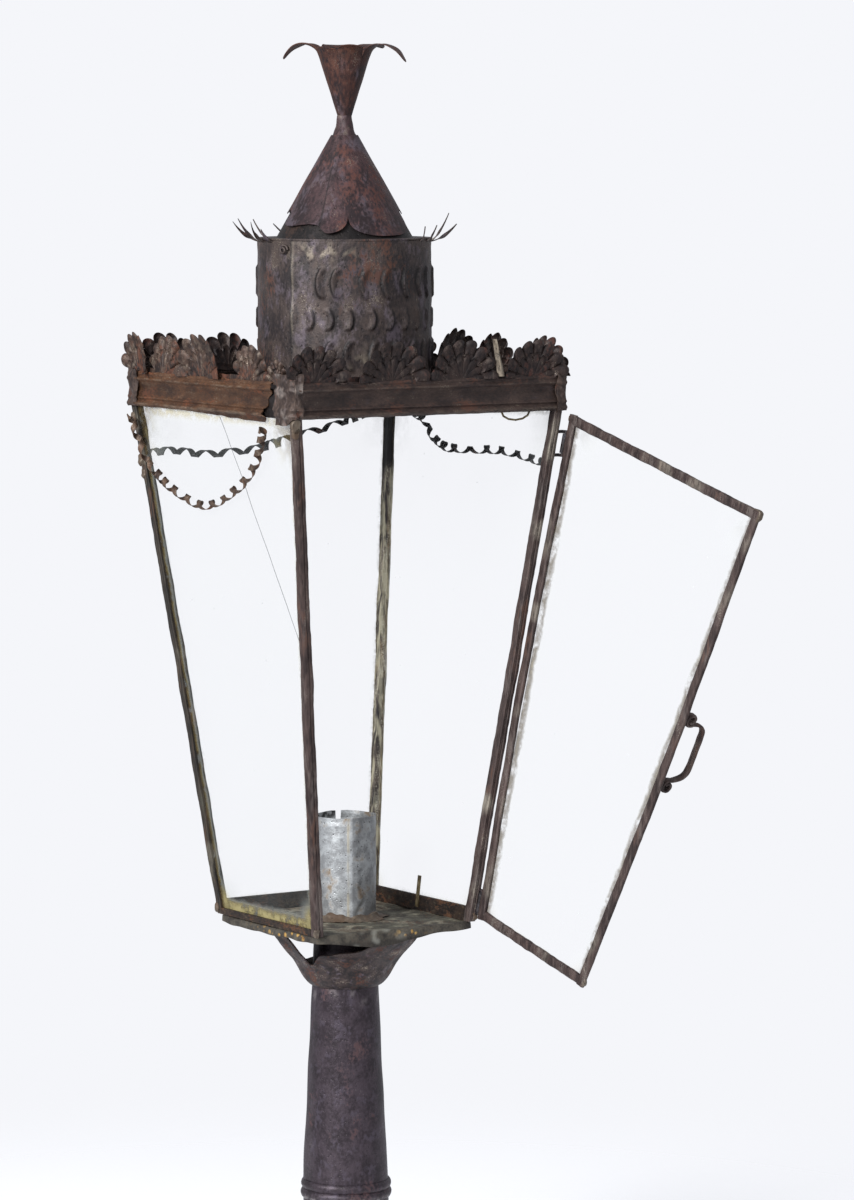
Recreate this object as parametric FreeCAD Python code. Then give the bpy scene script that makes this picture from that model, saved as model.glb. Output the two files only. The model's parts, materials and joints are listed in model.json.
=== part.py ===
import FreeCAD, Part
import math
import os

# Candle lantern in tinned sheet iron and glass, on a socket for a pole.
# Frame: millimetres, +Z up, origin at the centre of the pole sleeve's mouth.
# The door is on the -Y side and hangs on the (+X, -Y) post.  It is modelled shut
# and then turned to where it rests, part open.
# Heights called h are above the base plate's upper face.

Vector = FreeCAD.Vector
ORIGIN = Vector(0, 0, 0)
UP = Vector(0, 0, 1)

# ---------------------------------------------------------------- driving dimensions
base_level = 240.0          # base plate above the sleeve's mouth
sheet = 0.8                 # tinned sheet iron
lean = 0.12                 # how far each side leans out per unit of height
base_half = 54.2            # from the axis to the post centres, at the base plate
glazed_height = 309.0       # base plate to the underside of the top rails
post_half = 2.8             # half the width of a corner post
glass_half = 0.9            # half the thickness of the glass
groove_half = 0.95          # half the width of a glass groove
groove_depth = 1.4

pole_bore_radius = 25.0
sleeve_wall = 1.0
ferrule_mouth_height = -171.0
ferrule_mouth_radius = 26.1
ferrule_neck_height = -41.0
ferrule_neck_radius = 20.1
collar_rim_radius = 47.5

plate_half = 57.25
rim_depth = 8.0

cup_radius = 19.0
cup_height = 62.6

band_inner_half = 93.0
band_height = 21.0
rail_height = 16.0
crest_height = 23.0
crest_pitch = 47.0

drum_radius = 52.5
drum_bottom = 326.0
drum_top = 410.0
flue_hole_radius = 50.0

cone_foot_radius = 40.9
cone_slope = 0.565          # loss of radius per unit of height
cone_top = 466.0

door_gap = 0.5              # between the posts and the shut door
door_thickness = 3.4
door_bar = 6.0              # width of a door bar
door_bottom = 3.0
door_top = 307.5
door_rest_angle = 93.0      # from shut to where it rests
hinge_offset_low = 1.5      # hinge line outside the post's centre, at the base plate
hinge_offset_high = 6.5     # and at the top of the glazing
wire_radius = 1.0
knuckle_radius = 1.9
knuckle_bore = 1.06
stile_edge_gap = 1.5        # hinge line to the door's edge

door_depth = post_half + door_gap
door_axis_depth = door_depth + door_thickness / 2


def level(h):
    return base_level + h


def half(h):
    """Distance from the axis to the post centres at height h."""
    return base_half + lean * h


def at(x, y, h):
    return Vector(x, y, level(h))


def turned(shape, quarter_turns):
    """A copy of the shape, turned about the lantern's axis by quarter turns."""
    copy = shape.copy()
    copy.rotate(ORIGIN, UP, 90 * quarter_turns)
    return copy


def face_of(points):
    return Part.Face(Part.makePolygon(points + [points[0]]))


def union(shapes):
    return shapes[0].multiFuse(shapes[1:]).removeSplitter()


def turned_profile(points):
    """Solid of revolution about the lantern's axis.  Points are (radius, h)."""
    outline = [at(radius, 0, h) for radius, h in points]
    return face_of(outline).revolve(ORIGIN, UP, 360)


def cylinder_between(start, end, radius):
    run = end - start
    return Part.makeCylinder(radius, run.Length, start, run)


def wire_through(points, radius):
    """Round wire along straight runs, with rounded corners."""
    pieces = []
    for start, end in zip(points[:-1], points[1:]):
        pieces.append(cylinder_between(start, end, radius))
    for corner in points[1:-1]:
        pieces.append(Part.makeSphere(radius, corner))
    return union(pieces)


def side_plate(outline, inner, thickness):
    """Plate on the leaning +X side.  The outline's points are (y, h); inner is the
    distance of its inner face outside the plane through the post centres."""
    points = [at(half(h) + inner, y, h) for y, h in outline]
    return face_of(points).extrude(Vector(thickness, 0, 0))


def side_strip(low, high, inner, thickness, inset):
    """Plate that spans the +X side between heights, ending inset from the post centres."""
    low_end = half(low) - inset
    high_end = half(high) - inset
    outline = [(-low_end, low), (low_end, low), (high_end, high), (-high_end, high)]
    return side_plate(outline, inner, thickness)


# ---------------------------------------------------------------- foot and socket
def make_pole_sleeve():
    top = ferrule_mouth_height
    bottom = -base_level
    outer = pole_bore_radius + sleeve_wall
    return turned_profile([(pole_bore_radius, bottom), (outer, bottom), (outer, top), (pole_bore_radius, top)])


def ferrule_radius(h):
    share = (h - ferrule_mouth_height) / (ferrule_neck_height - ferrule_mouth_height)
    return ferrule_mouth_radius + share * (ferrule_neck_radius - ferrule_mouth_radius)


def make_ferrule():
    foot = ferrule_radius(ferrule_mouth_height)
    head = ferrule_radius(-sheet)
    return turned_profile([
        (foot - sheet, ferrule_mouth_height), (foot, ferrule_mouth_height),
        (head, -sheet), (head - sheet, -sheet)])


def make_bead_band():
    """Two round beads rolled into a narrow band round the ferrule's mouth."""
    low = ferrule_mouth_height
    high = low + 11.0
    middle = (low + high) / 2
    wall = 0.5
    bead = 1.3
    points = [at(ferrule_radius(h) + wall, 0, h) for h in (low, middle, high)]
    edges = [Part.LineSegment(at(ferrule_radius(low), 0, low), points[0]).toShape()]
    for start, end in zip(points[:-1], points[1:]):
        crown = (start + end) * 0.5 + Vector(bead, 0, 0)
        edges.append(Part.Arc(start, crown, end).toShape())
    edges.append(Part.LineSegment(points[-1], at(ferrule_radius(high), 0, high)).toShape())
    edges.append(Part.LineSegment(at(ferrule_radius(high), 0, high), at(ferrule_radius(low), 0, low)).toShape())
    return Part.Face(Part.Wire(edges)).revolve(ORIGIN, UP, 360)


def make_calyx():
    """Flared collar cut into five petals.  The front one droops open below the base plate
    and the two at the back are broken off short."""
    foot = ferrule_radius(ferrule_neck_height)
    foot_high = ferrule_neck_height + 1.0
    collar = turned_profile([
        (ferrule_radius(foot_high), foot_high), (foot + 1.2, ferrule_neck_height),
        (collar_rim_radius, -sheet), (collar_rim_radius - 1.4, -sheet)])
    petals = 5
    notch_floor = -24.0
    notch_half = 9.0
    notch = face_of([
        Vector(20, 0, level(notch_floor)),
        Vector(20, -notch_half, level(5)),
        Vector(20, notch_half, level(5))]).extrude(Vector(40, 0, 0))
    first_notch = 200.6
    petal_span = 360 / petals
    for index in range(petals):
        cutter = notch.copy()
        cutter.rotate(ORIGIN, UP, first_notch + index * petal_span)
        collar = collar.cut(cutter)
    for index, head in ((0, -15.5), (2, -27.0), (3, -28.5)):
        above = Part.makeCylinder(2 * collar_rim_radius, 5 - head, at(0, 0, head), UP, petal_span)
        above.rotate(ORIGIN, UP, first_notch + index * petal_span)
        collar = collar.cut(above)
    return collar


def make_base_plate():
    side = 2 * plate_half
    block = Part.makeBox(side, side, rim_depth, at(-plate_half, -plate_half, -rim_depth))
    inner = side - 2 * sheet
    hollow = Part.makeBox(
        inner, inner, rim_depth, at(-plate_half + sheet, -plate_half + sheet, -rim_depth - sheet))
    return block.cut(hollow)


def make_candle_socket():
    inner = cup_radius - sheet
    cup = turned_profile([(inner, 0), (cup_radius, 0), (cup_radius, cup_height), (inner, cup_height)])
    notch_width = 3.4
    notch_depth = 7.0
    notch = Part.makeBox(
        2 * cup_radius, notch_width, 2 * notch_depth, at(0, -notch_width / 2, cup_height - notch_depth))
    notch.rotate(ORIGIN, UP, 72)
    return cup.cut(notch)


def make_socket_solder():
    """Hollow fillet round the foot of the cup."""
    spread = 4.5
    rise = 4.0
    foot = at(cup_radius + spread, 0, 0)
    corner = at(cup_radius, 0, 0)
    head = at(cup_radius, 0, rise)
    crook = at(cup_radius + 0.3 * spread, 0, 0.3 * rise)
    edges = [
        Part.LineSegment(corner, foot).toShape(),
        Part.Arc(foot, crook, head).toShape(),
        Part.LineSegment(head, corner).toShape()]
    return Part.Face(Part.Wire(edges)).revolve(ORIGIN, UP, 360)


# ---------------------------------------------------------------- glazed body
def post_outline(first_groove, second_groove):
    """Section of a post about its own centre, for the (+X, +Y) corner.  The first
    groove takes the pane on the +X side, the second the pane on the +Y side."""
    width = post_half
    slot = groove_half
    floor = -width + groove_depth
    chamfer = 1.0
    points = [(-width, -width)]
    if first_groove:
        points += [(-slot, -width), (-slot, floor), (slot, floor), (slot, -width)]
    points += [(width, -width), (width, width - chamfer), (width - chamfer, width), (-width, width)]
    if second_groove:
        points += [(-width, slot), (floor, slot), (floor, -slot), (-width, -slot)]
    return points


def make_post(quarter_turns, first_groove, second_groove):
    outline = post_outline(first_groove, second_groove)
    foot = [at(base_half + x, base_half + y, 0) for x, y in outline]
    rise = Vector(lean * glazed_height, lean * glazed_height, glazed_height)
    return turned(face_of(foot).extrude(rise), quarter_turns)


def make_bottom_rail(quarter_turns):
    """Folded channel: a low outer lip, a web under the glass and a tall inner lip."""
    web = 1.0
    outer_lip = 4.0
    inner_lip = 9.0
    lip = post_half - groove_half
    rail = union([
        side_strip(0, web, -post_half, 2 * post_half, post_half),
        side_strip(0, outer_lip, groove_half, lip, post_half),
        side_strip(0, inner_lip, -post_half, lip, post_half)])
    return turned(rail, quarter_turns)


def make_pane(quarter_turns):
    """Pane in its grooves, from the rail's web up to the top rail."""
    edge = post_half - groove_depth
    pane = side_strip(1.0, glazed_height, -glass_half, 2 * glass_half, edge + 0.1)
    return turned(pane, quarter_turns)


def make_pane_clip():
    """Small upright tab soldered to the inner lip of the right-hand rail."""
    half_width = 1.6
    top = 21.0
    foot = 2.0
    outline = [(-half_width, foot), (half_width, foot), (half_width, top), (-half_width, top)]
    clip_thickness = 0.6
    return side_plate(outline, -post_half - clip_thickness, clip_thickness)


def make_top_rail(quarter_turns):
    """Mitred angle strip: a flange over the glass and an upright behind the cornice."""
    inner = 84.0
    flange = 1.0
    bottom = glazed_height
    rail = union([
        mitred_block(inner, band_inner_half, bottom, bottom + flange),
        mitred_block(band_inner_half - flange, band_inner_half, bottom, bottom + rail_height)])
    return turned(rail, quarter_turns)


def mitred_block(inner, outer, low, high):
    """Block along the +X side with its ends cut at 45 degrees."""
    outline = [at(inner, -inner, low), at(outer, -outer, low), at(outer, outer, low), at(inner, inner, low)]
    return face_of(outline).extrude(Vector(0, 0, high - low))


# ---------------------------------------------------------------- cornice
def make_cornice(quarter_turns):
    """Sheet band with three pressed mouldings, mitred at the corners."""
    bottom = glazed_height
    band = mitred_block(band_inner_half, band_inner_half + sheet, bottom, bottom + band_height)
    moulding_half_length = 79.0
    outer = band_inner_half + sheet
    pieces = [band]
    for height, radius in ((1.6, 1.4), (9.0, 0.9), (18.6, 1.1)):
        centre = at(outer - 0.3, -moulding_half_length, bottom + height)
        moulding = Part.makeCylinder(radius, 2 * moulding_half_length, centre, Vector(0, 1, 0))
        inside = Part.makeBox(
            10, 4 * moulding_half_length, 10,
            centre + Vector(-9.7, -moulding_half_length, -5))
        pieces.append(moulding.cut(inside))
    return turned(union(pieces), quarter_turns)


def palmette_edges(centre, foot, radius, bulge, lobes, plane_x):
    """Arcs of the round lobes of one palmette, from its right foot to its left."""
    first = math.radians(8)
    last = math.radians(172)
    edges = []
    for index in range(lobes):
        start = first + (last - first) * index / lobes
        end = first + (last - first) * (index + 1) / lobes
        points = []
        for angle, reach in ((start, radius), ((start + end) / 2, radius + bulge), (end, radius)):
            points.append(at(plane_x, centre + reach * math.cos(angle), foot + reach * math.sin(angle)))
        edges.append(Part.Arc(*points).toShape())
    return edges


def make_crest(quarter_turns):
    """Row of four scalloped palmettes cut from one strip, standing on the cornice."""
    bottom = glazed_height + band_height
    foot = bottom + 1.5
    radius = 19.5
    lobes = 7
    plane_x = band_inner_half
    count = 4
    edges = []
    corner = at(plane_x, band_inner_half, bottom)
    previous = corner
    for index in range(count):
        centre = crest_pitch * ((count - 1) / 2 - index)
        lobe_edges = palmette_edges(centre, foot, radius, crest_height - foot + bottom - radius, lobes, plane_x)
        start = lobe_edges[0].Vertexes[0].Point
        edges.append(Part.LineSegment(previous, start).toShape())
        edges += lobe_edges
        previous = lobe_edges[-1].Vertexes[-1].Point
    last_corner = at(plane_x, -band_inner_half, bottom)
    edges.append(Part.LineSegment(previous, last_corner).toShape())
    edges.append(Part.LineSegment(last_corner, corner).toShape())
    crest = Part.Face(Part.Wire(edges)).extrude(Vector(sheet, 0, 0))
    return turned(crest, quarter_turns)


def make_gusset(quarter_turns):
    """Folded sheet that wraps one corner of the cornice, outside the bands."""
    inner = band_inner_half + sheet
    outer = inner + sheet
    leg = 12.0
    outline = [
        (inner, inner), (inner, outer - leg), (outer, outer - leg),
        (outer, outer), (outer - leg, outer), (outer - leg, inner)]
    foot = [at(x, y, glazed_height) for x, y in outline]
    gusset = face_of(foot).extrude(Vector(0, 0, band_height))
    return turned(gusset, quarter_turns)


def make_roof_plate():
    thickness = drum_bottom - glazed_height - rail_height
    side = 2 * band_inner_half
    plate = Part.makeBox(
        side, side, thickness, at(-band_inner_half, -band_inner_half, glazed_height + rail_height))
    hole = Part.makeCylinder(flue_hole_radius, 10, at(0, 0, glazed_height + rail_height - 5))
    return plate.cut(hole)


# ---------------------------------------------------------------- chimney
def make_chimney_drum():
    inner = drum_radius - sheet
    drum = turned_profile([
        (inner, drum_bottom), (drum_radius, drum_bottom), (drum_radius, drum_top), (inner, drum_top)])
    lap = Part.makeBox(
        sheet + 0.6, 6, drum_top - drum_bottom - 4, at(drum_radius - 0.6, 0, drum_bottom + 2))
    lap.rotate(ORIGIN, UP, 201.6)
    return union([drum, lap])


def outside_drum(shape):
    """The part of a shape that lies outside the drum's skin."""
    return shape.cut(Part.makeCylinder(drum_radius, level(2 * drum_top)))


def make_drum_rivet():
    """Curled head near the rim, beside the seam."""
    rivet = Part.makeCylinder(3.0, 2.4, at(drum_radius - 0.6, 0, 404.5), Vector(1, 0, 0))
    rivet.rotate(ORIGIN, UP, 195.0)
    return outside_drum(rivet)


def make_chimney_spikes():
    """Bent pointed tabs in two groups and a scatter behind, each on a short foot."""
    foot_half = 2.4
    reach = 13.0
    rise = 13.0
    foot_height = drum_top - 6.0
    outer = drum_radius - 0.3
    spikes = []
    for angle in (150, 160, 169, 178, 30, 52, 74, 96, 118, 298, 307, 316, 326):
        foot = Part.makeBox(sheet, 2 * foot_half, 6.0, at(outer, -foot_half, foot_height))
        base = [
            at(outer, -foot_half, drum_top), at(outer + sheet, -foot_half, drum_top),
            at(outer + sheet, foot_half, drum_top), at(outer, foot_half, drum_top)]
        blade = tapered_blade(base, at(outer + reach, 0, drum_top + rise))
        spike = foot.fuse(blade)
        spike.rotate(ORIGIN, UP, angle)
        spikes.append(outside_drum(spike))
    return Part.makeCompound(spikes)


def tapered_blade(base, tip):
    """Pyramid from four base points to a tip."""
    faces = [face_of(base)]
    for index in range(len(base)):
        faces.append(face_of([base[index], base[(index + 1) % len(base)], tip]))
    return Part.Solid(Part.Shell(faces))


def make_chimney_top():
    thickness = 1.0
    return turned_profile([
        (cone_foot_radius - 2, drum_top), (drum_radius, drum_top),
        (drum_radius, drum_top + thickness), (cone_foot_radius - 2, drum_top + thickness)])


def cone_radius(h):
    """Outer radius of the inner cone."""
    return cone_foot_radius - cone_slope * (h - drum_top - 1.0)


def make_vent_cone():
    foot = drum_top + 1.0
    wall = sheet * math.hypot(1, cone_slope)
    return turned_profile([
        (cone_radius(foot) - wall, foot), (cone_radius(foot), foot),
        (cone_radius(cone_top), cone_top), (cone_radius(cone_top) - wall, cone_top)])


def make_cone_cap():
    """Outer cone with eight lobes along its lower edge."""
    foot = drum_top + 4.0
    wall = sheet * math.hypot(1, cone_slope)
    top = cone_top + 3.0
    cap = turned_profile([
        (cone_radius(foot), foot), (cone_radius(foot) + wall, foot),
        (cone_radius(top) + wall, top), (cone_radius(top), top)])
    lobes = 8
    first_gap = 242.5
    gap_height = 15.0
    gap_half = 9.0
    gap = face_of([
        at(20, 0, foot + gap_height),
        at(20, -gap_half, foot - 1),
        at(20, gap_half, foot - 1)]).extrude(Vector(40, 0, 0))
    for index in range(lobes):
        cutter = gap.copy()
        cutter.rotate(ORIGIN, UP, first_gap + index * 360 / lobes)
        cap = cap.cut(cutter)
    return cap


def make_apex_collar():
    foot = cone_top + 3.0
    return turned_profile([
        (0, foot), (cone_radius(foot) + 0.4, foot), (6.6, foot + 6), (4.9, foot + 10),
        (4.4, foot + 14), (0, foot + 14)])


def make_tulip_finial():
    """Cone of sheet that opens into six petals, which curl out and down."""
    foot = cone_top + 17.0
    throat = foot + 35.0
    tip_radius = 37.8
    line = Part.LineSegment
    outer = [at(4.4, 0, foot), at(15.4, 0, throat), at(26, 0, throat + 6.6), at(tip_radius, 0, throat - 0.8)]
    inner = [at(3.4, 0, foot), at(14.5, 0, throat + 0.5), at(26, 0, throat + 7.5), at(tip_radius, 0, throat)]
    edges = [
        line(outer[0], outer[1]).toShape(),
        Part.Arc(outer[1], outer[2], outer[3]).toShape(),
        line(outer[3], inner[3]).toShape(),
        Part.Arc(inner[3], inner[2], inner[1]).toShape(),
        line(inner[1], inner[0]).toShape(),
        line(inner[0], outer[0]).toShape()]
    tulip = Part.Face(Part.Wire(edges)).revolve(ORIGIN, UP, 360)
    petals = 6
    notch = face_of([
        Vector(17, 0, level(throat - 10)),
        Vector(42, -17, level(throat - 10)),
        Vector(42, 17, level(throat - 10))]).extrude(Vector(0, 0, 30))
    for index in range(petals):
        cutter = notch.copy()
        cutter.rotate(ORIGIN, UP, 237.6 + index * 360 / petals)
        tulip = tulip.cut(cutter)
    return tulip


# ---------------------------------------------------------------- garlands and wire
def make_garland(quarter_turns, stations):
    """Twisted ribbon that droops outside one pane.  Stations are (y, h) on the +X side."""
    clearance = 6.5
    radius = 1.3
    points = [at(half(h) + clearance, y, h) for y, h in stations]
    return turned(wire_through(points, radius), quarter_turns)


def make_wire_tie():
    """Small bent wire that hangs under the top rail over the door."""
    y = -86.5
    wire = 0.6
    points = []
    for step in range(7):
        angle = math.pi * step / 6
        points.append(at(65 + 10 * math.cos(angle), y, glazed_height - 0.3 - 5 * math.sin(angle)))
    cutter = Part.makeBox(60, 20, 5, at(40, y - 10, glazed_height))
    return wire_through(points, wire).cut(cutter)


# ---------------------------------------------------------------- door, modelled shut
def hinge_x(h):
    return half(h) + hinge_offset_low + (hinge_offset_high - hinge_offset_low) * h / glazed_height


def hinge_point(h):
    return at(hinge_x(h), -half(h) - door_axis_depth, h)


HINGE_AXIS = hinge_point(glazed_height) - hinge_point(0)
HINGE_AXIS.normalize()


def opened(shape):
    """Turns a shape from the shut door to where the door rests."""
    copy = shape.copy()
    copy.rotate(hinge_point(0), HINGE_AXIS, door_rest_angle)
    return copy


def door_point(x, h, depth):
    return at(x, -half(h) - depth, h)


def door_plate(outline, depth, thickness):
    """Plate in the door's plane.  The outline's points are (x, h)."""
    points = [door_point(x, h, depth) for x, h in outline]
    return face_of(points).extrude(Vector(0, -thickness, 0))


def hinge_edge(h):
    return hinge_x(h) - stile_edge_gap


def free_edge(h):
    return -half(h) + 1.0


def door_outline(inset):
    """Corners of the door, moved in by inset."""
    low = door_bottom + inset
    high = door_top - inset
    return [
        (hinge_edge(low) - inset, low), (hinge_edge(high) - inset, high),
        (free_edge(high) + inset, high), (free_edge(low) + inset, low)]


def door_pane_blank(inset, clearance):
    return door_plate(
        door_outline(inset), door_axis_depth - glass_half - clearance, 2 * (glass_half + clearance))


GLASS_REBATE = door_pane_blank(door_bar - 1.6, 0.05)


def make_door_stile(edge, direction):
    """Upright bar along one edge of the door, grooved for the glass."""
    outline = [
        (edge(door_bottom), door_bottom), (edge(door_top), door_top),
        (edge(door_top) + direction * door_bar, door_top),
        (edge(door_bottom) + direction * door_bar, door_bottom)]
    return door_plate(outline, door_depth, door_thickness).cut(GLASS_REBATE)


def make_door_rail(low, high):
    outline = [
        (hinge_edge(low) - door_bar, low), (hinge_edge(high) - door_bar, high),
        (free_edge(high) + door_bar, high), (free_edge(low) + door_bar, low)]
    return door_plate(outline, door_depth, door_thickness).cut(GLASS_REBATE)


def make_door_solder():
    """Flat dabs of solder over the four bar joints."""
    size = 7.0
    dabs = []
    for x, h in door_outline(size / 2 + 0.6):
        reach = size / 2
        outline = [(x - reach, h - reach), (x + reach, h - reach), (x + reach, h + reach), (x - reach, h + reach)]
        dabs.append(opened(door_plate(outline, door_depth + door_thickness, 0.5)))
    return Part.makeCompound(dabs)


def make_door_handle():
    """Bent strap with a scroll at each end, soldered to the free stile's outer face."""
    middle = (door_bottom + door_top) / 2
    centre = door_point(free_edge(middle) + door_bar / 2, middle, door_depth + door_thickness)
    along = door_point(free_edge(door_top), door_top, 0) - door_point(free_edge(door_bottom), door_bottom, 0)
    along.normalize()
    out = Vector(0, -1, 0)
    across = along.cross(out)
    across.normalize()
    strap_half = 2.2
    outline = [
        (-20.5, 2.5), (-17.0, 10.5), (-13.0, 13.5), (13.0, 13.5), (17.0, 10.5), (20.5, 2.5),
        (18.2, 2.5), (15.2, 9.3), (12.2, 11.4), (-12.2, 11.4), (-15.2, 9.3), (-18.2, 2.5)]
    points = [centre + along * u + out * v - across * strap_half for u, v in outline]
    pieces = [face_of(points).extrude(across * (2 * strap_half))]
    scroll = 3.9
    for end in (-1, 1):
        start = centre + along * (21.0 * end) + out * (scroll - 0.2) - across * strap_half
        pieces.append(Part.makeCylinder(scroll, 2 * strap_half, start, across))
    return union(pieces)


def make_knuckle(low, high):
    """Rolled tin eye on the door's edge, round the hinge wire."""
    start = hinge_point(low)
    end = hinge_point(high)
    run = end - start
    eye = Part.makeCylinder(knuckle_radius, run.Length, start, run)
    return eye.cut(Part.makeCylinder(knuckle_bore, run.Length, start, run))


def make_staple(low, high, wrap, post):
    """Stiff wire soldered to the hinge post; its middle is the hinge pin.  A wrapped
    leg goes back past the door's edge before it turns in to the post."""
    points = []
    for h in (low, high):
        pin_end = hinge_point(h)
        back = pin_end + Vector(0, door_axis_depth + wrap, 0)
        leg = [pin_end, back]
        if wrap > -post_half:
            leg.append(Vector(half(h), back.y, pin_end.z))
        points.append(leg)
    route = list(reversed(points[0])) + points[1]
    return wire_through(route, wire_radius).cut(post)


# ---------------------------------------------------------------- assembly
parts = {}
parts["pole_sleeve"] = make_pole_sleeve()
parts["ferrule_cone"] = make_ferrule()
parts["bead_band"] = make_bead_band()
parts["calyx_collar"] = make_calyx()
parts["base_plate"] = make_base_plate()
parts["candle_socket"] = make_candle_socket()
parts["socket_solder"] = make_socket_solder()

parts["post_back"] = make_post(0, True, True)
parts["post_left"] = make_post(1, True, True)
parts["post_front"] = make_post(2, True, False)
parts["post_hinge"] = make_post(3, False, True)
SIDE_NAMES = ("right", "back", "left", "door")
for turns, side in enumerate(SIDE_NAMES[:3]):
    parts["bottom_rail_" + side] = make_bottom_rail(turns)
    parts["pane_" + side] = make_pane(turns)
for turns, side in enumerate(SIDE_NAMES):
    parts["top_rail_" + side] = make_top_rail(turns)
    parts["cornice_" + side] = make_cornice(turns)
    parts["crest_" + side] = make_crest(turns)
for turns, corner_name in enumerate(("back", "left", "front", "hinge")):
    parts["gusset_" + corner_name] = make_gusset(turns)
parts["pane_clip"] = make_pane_clip()
parts["roof_plate"] = make_roof_plate()

parts["chimney_drum"] = make_chimney_drum()
parts["drum_rivet"] = make_drum_rivet()
parts["chimney_spikes"] = make_chimney_spikes()
parts["chimney_top"] = make_chimney_top()
parts["vent_cone"] = make_vent_cone()
parts["cone_cap"] = make_cone_cap()
parts["apex_collar"] = make_apex_collar()
parts["tulip_finial"] = make_tulip_finial()

parts["garland_right"] = make_garland(0, [
    (72, 296), (60.7, 296), (46, 283), (31.4, 276), (5, 283), (-22.8, 281), (-50, 274), (-71.5, 275), (-86, 292)])
parts["garland_back"] = make_garland(1, [
    (-72, 301), (-56.6, 296), (-20, 293), (14.5, 288), (40, 277), (65.7, 273), (86, 292)])
parts["garland_left"] = make_garland(2, [
    (-91, 297), (-82, 280), (-71.6, 268), (-52, 259), (-32.8, 254), (-14.6, 255), (6, 260), (22, 267),
    (36, 281), (48.5, 301)])
parts["wire_tie"] = make_wire_tie()

upper_low = 282.0
upper_high = 296.0
lower_low = 5.0
lower_high = 19.0
end_play = wire_radius + 0.3
upper_knuckle = make_knuckle(upper_low + end_play, upper_high - end_play)
lower_knuckle = make_knuckle(lower_low + end_play, lower_high - end_play)
hinge_stile = make_door_stile(hinge_edge, -1)
for low, high in ((upper_low, upper_high), (lower_low, lower_high)):
    seat = cylinder_between(hinge_point(low - 3), hinge_point(high + 3), knuckle_radius)
    hinge_stile = hinge_stile.cut(seat)
parts["door_hinge_stile"] = opened(hinge_stile)
parts["door_free_stile"] = opened(make_door_stile(free_edge, 1))
parts["door_bottom_rail"] = opened(make_door_rail(door_bottom, door_bottom + door_bar))
parts["door_top_rail"] = opened(make_door_rail(door_top - door_bar, door_top))
parts["door_pane"] = opened(door_pane_blank(door_bar - 1.5, 0))
parts["door_solder"] = make_door_solder()
parts["door_handle"] = opened(make_door_handle().cut(make_door_stile(free_edge, 1)))
parts["hinge_knuckle_upper"] = opened(upper_knuckle)
parts["hinge_knuckle_lower"] = opened(lower_knuckle)
parts["hinge_staple_upper"] = make_staple(upper_low, upper_high, -0.4, parts["post_hinge"])
parts["hinge_staple_lower"] = make_staple(lower_low, lower_high, -post_half, parts["post_hinge"])

os.makedirs("parts", exist_ok=True)
total_volume = 0.0
for node, shape in parts.items():
    shape.exportStep("parts/" + node + ".step")
    total_volume += shape.Volume
    print(node, "solids", len(shape.Solids), "volume", round(shape.Volume, 1), "valid", shape.isValid())
print("nodes", len(parts), "volume", round(total_volume))
print("hinge point", hinge_point(0), "axis", HINGE_AXIS)
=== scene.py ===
"""Candle lantern in rusted tinned iron: its looks, laid out as an add-on and run as a script."""

import json
import math

import bpy
from bpy.props import FloatProperty, FloatVectorProperty, IntProperty, PointerProperty
from mathutils import Matrix, Vector, noise


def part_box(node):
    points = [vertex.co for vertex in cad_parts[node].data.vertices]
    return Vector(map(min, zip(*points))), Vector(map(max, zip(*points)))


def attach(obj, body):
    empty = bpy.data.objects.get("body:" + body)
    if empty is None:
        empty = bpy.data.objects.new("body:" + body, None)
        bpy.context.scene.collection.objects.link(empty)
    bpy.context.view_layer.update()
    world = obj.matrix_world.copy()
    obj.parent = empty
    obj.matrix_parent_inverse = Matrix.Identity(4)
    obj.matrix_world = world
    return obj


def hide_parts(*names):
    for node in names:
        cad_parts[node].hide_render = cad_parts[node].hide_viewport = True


bl_info = {
    "name": "Candle Lantern",
    "version": (1, 0, 0),
    "blender": (4, 5, 0),
    "location": "3D View > Sidebar > Lantern",
    "description": "Builds a tin and glass candle lantern around its packed frame",
    "category": "Object",
}

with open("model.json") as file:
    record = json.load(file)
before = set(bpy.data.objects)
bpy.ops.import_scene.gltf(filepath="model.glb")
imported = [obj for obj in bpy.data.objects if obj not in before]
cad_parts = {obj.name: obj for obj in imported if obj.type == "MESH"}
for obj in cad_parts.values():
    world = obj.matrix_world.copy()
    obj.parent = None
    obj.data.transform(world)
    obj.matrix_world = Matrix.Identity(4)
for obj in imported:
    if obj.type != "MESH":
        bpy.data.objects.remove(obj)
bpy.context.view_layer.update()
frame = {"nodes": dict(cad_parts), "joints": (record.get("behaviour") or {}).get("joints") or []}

MM = 0.001
TURN = 2 * math.pi
SIDES = ("right", "back", "left", "door")

# ---------------------------------------------------------------- sizes read from the frame, in millimetres
PLATE_LOW, PLATE_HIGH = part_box("base_plate")
BASE = PLATE_HIGH.z
POST_LOW, POST_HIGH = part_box("post_back")
POST_HALF = 2.8
FOOT_HALF = POST_LOW.x / MM + POST_HALF
HEAD_HALF = POST_HIGH.x / MM - POST_HALF
GLAZED = (POST_HIGH.z - POST_LOW.z) / MM
LEAN = (HEAD_HALF - FOOT_HALF) / GLAZED
PLATE_HALF = PLATE_HIGH.x / MM
BAND_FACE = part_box("gusset_back")[0].x / MM + 12.0
DRUM_LOW, DRUM_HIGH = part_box("chimney_drum")
DRUM_RADIUS = 52.5
DRUM_FOOT = (DRUM_LOW.z - BASE) / MM
DRUM_HEAD = (DRUM_HIGH.z - BASE) / MM
CUP_HEAD = (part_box("candle_socket")[1].z - BASE) / MM
CUP_RADIUS = 19.0
CAP_LOW, CAP_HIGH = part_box("cone_cap")
CAP_FOOT = (CAP_LOW.z - BASE) / MM
CAP_HEAD = (CAP_HIGH.z - BASE) / MM
CAP_FOOT_RADIUS = CAP_HIGH.x / MM
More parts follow.
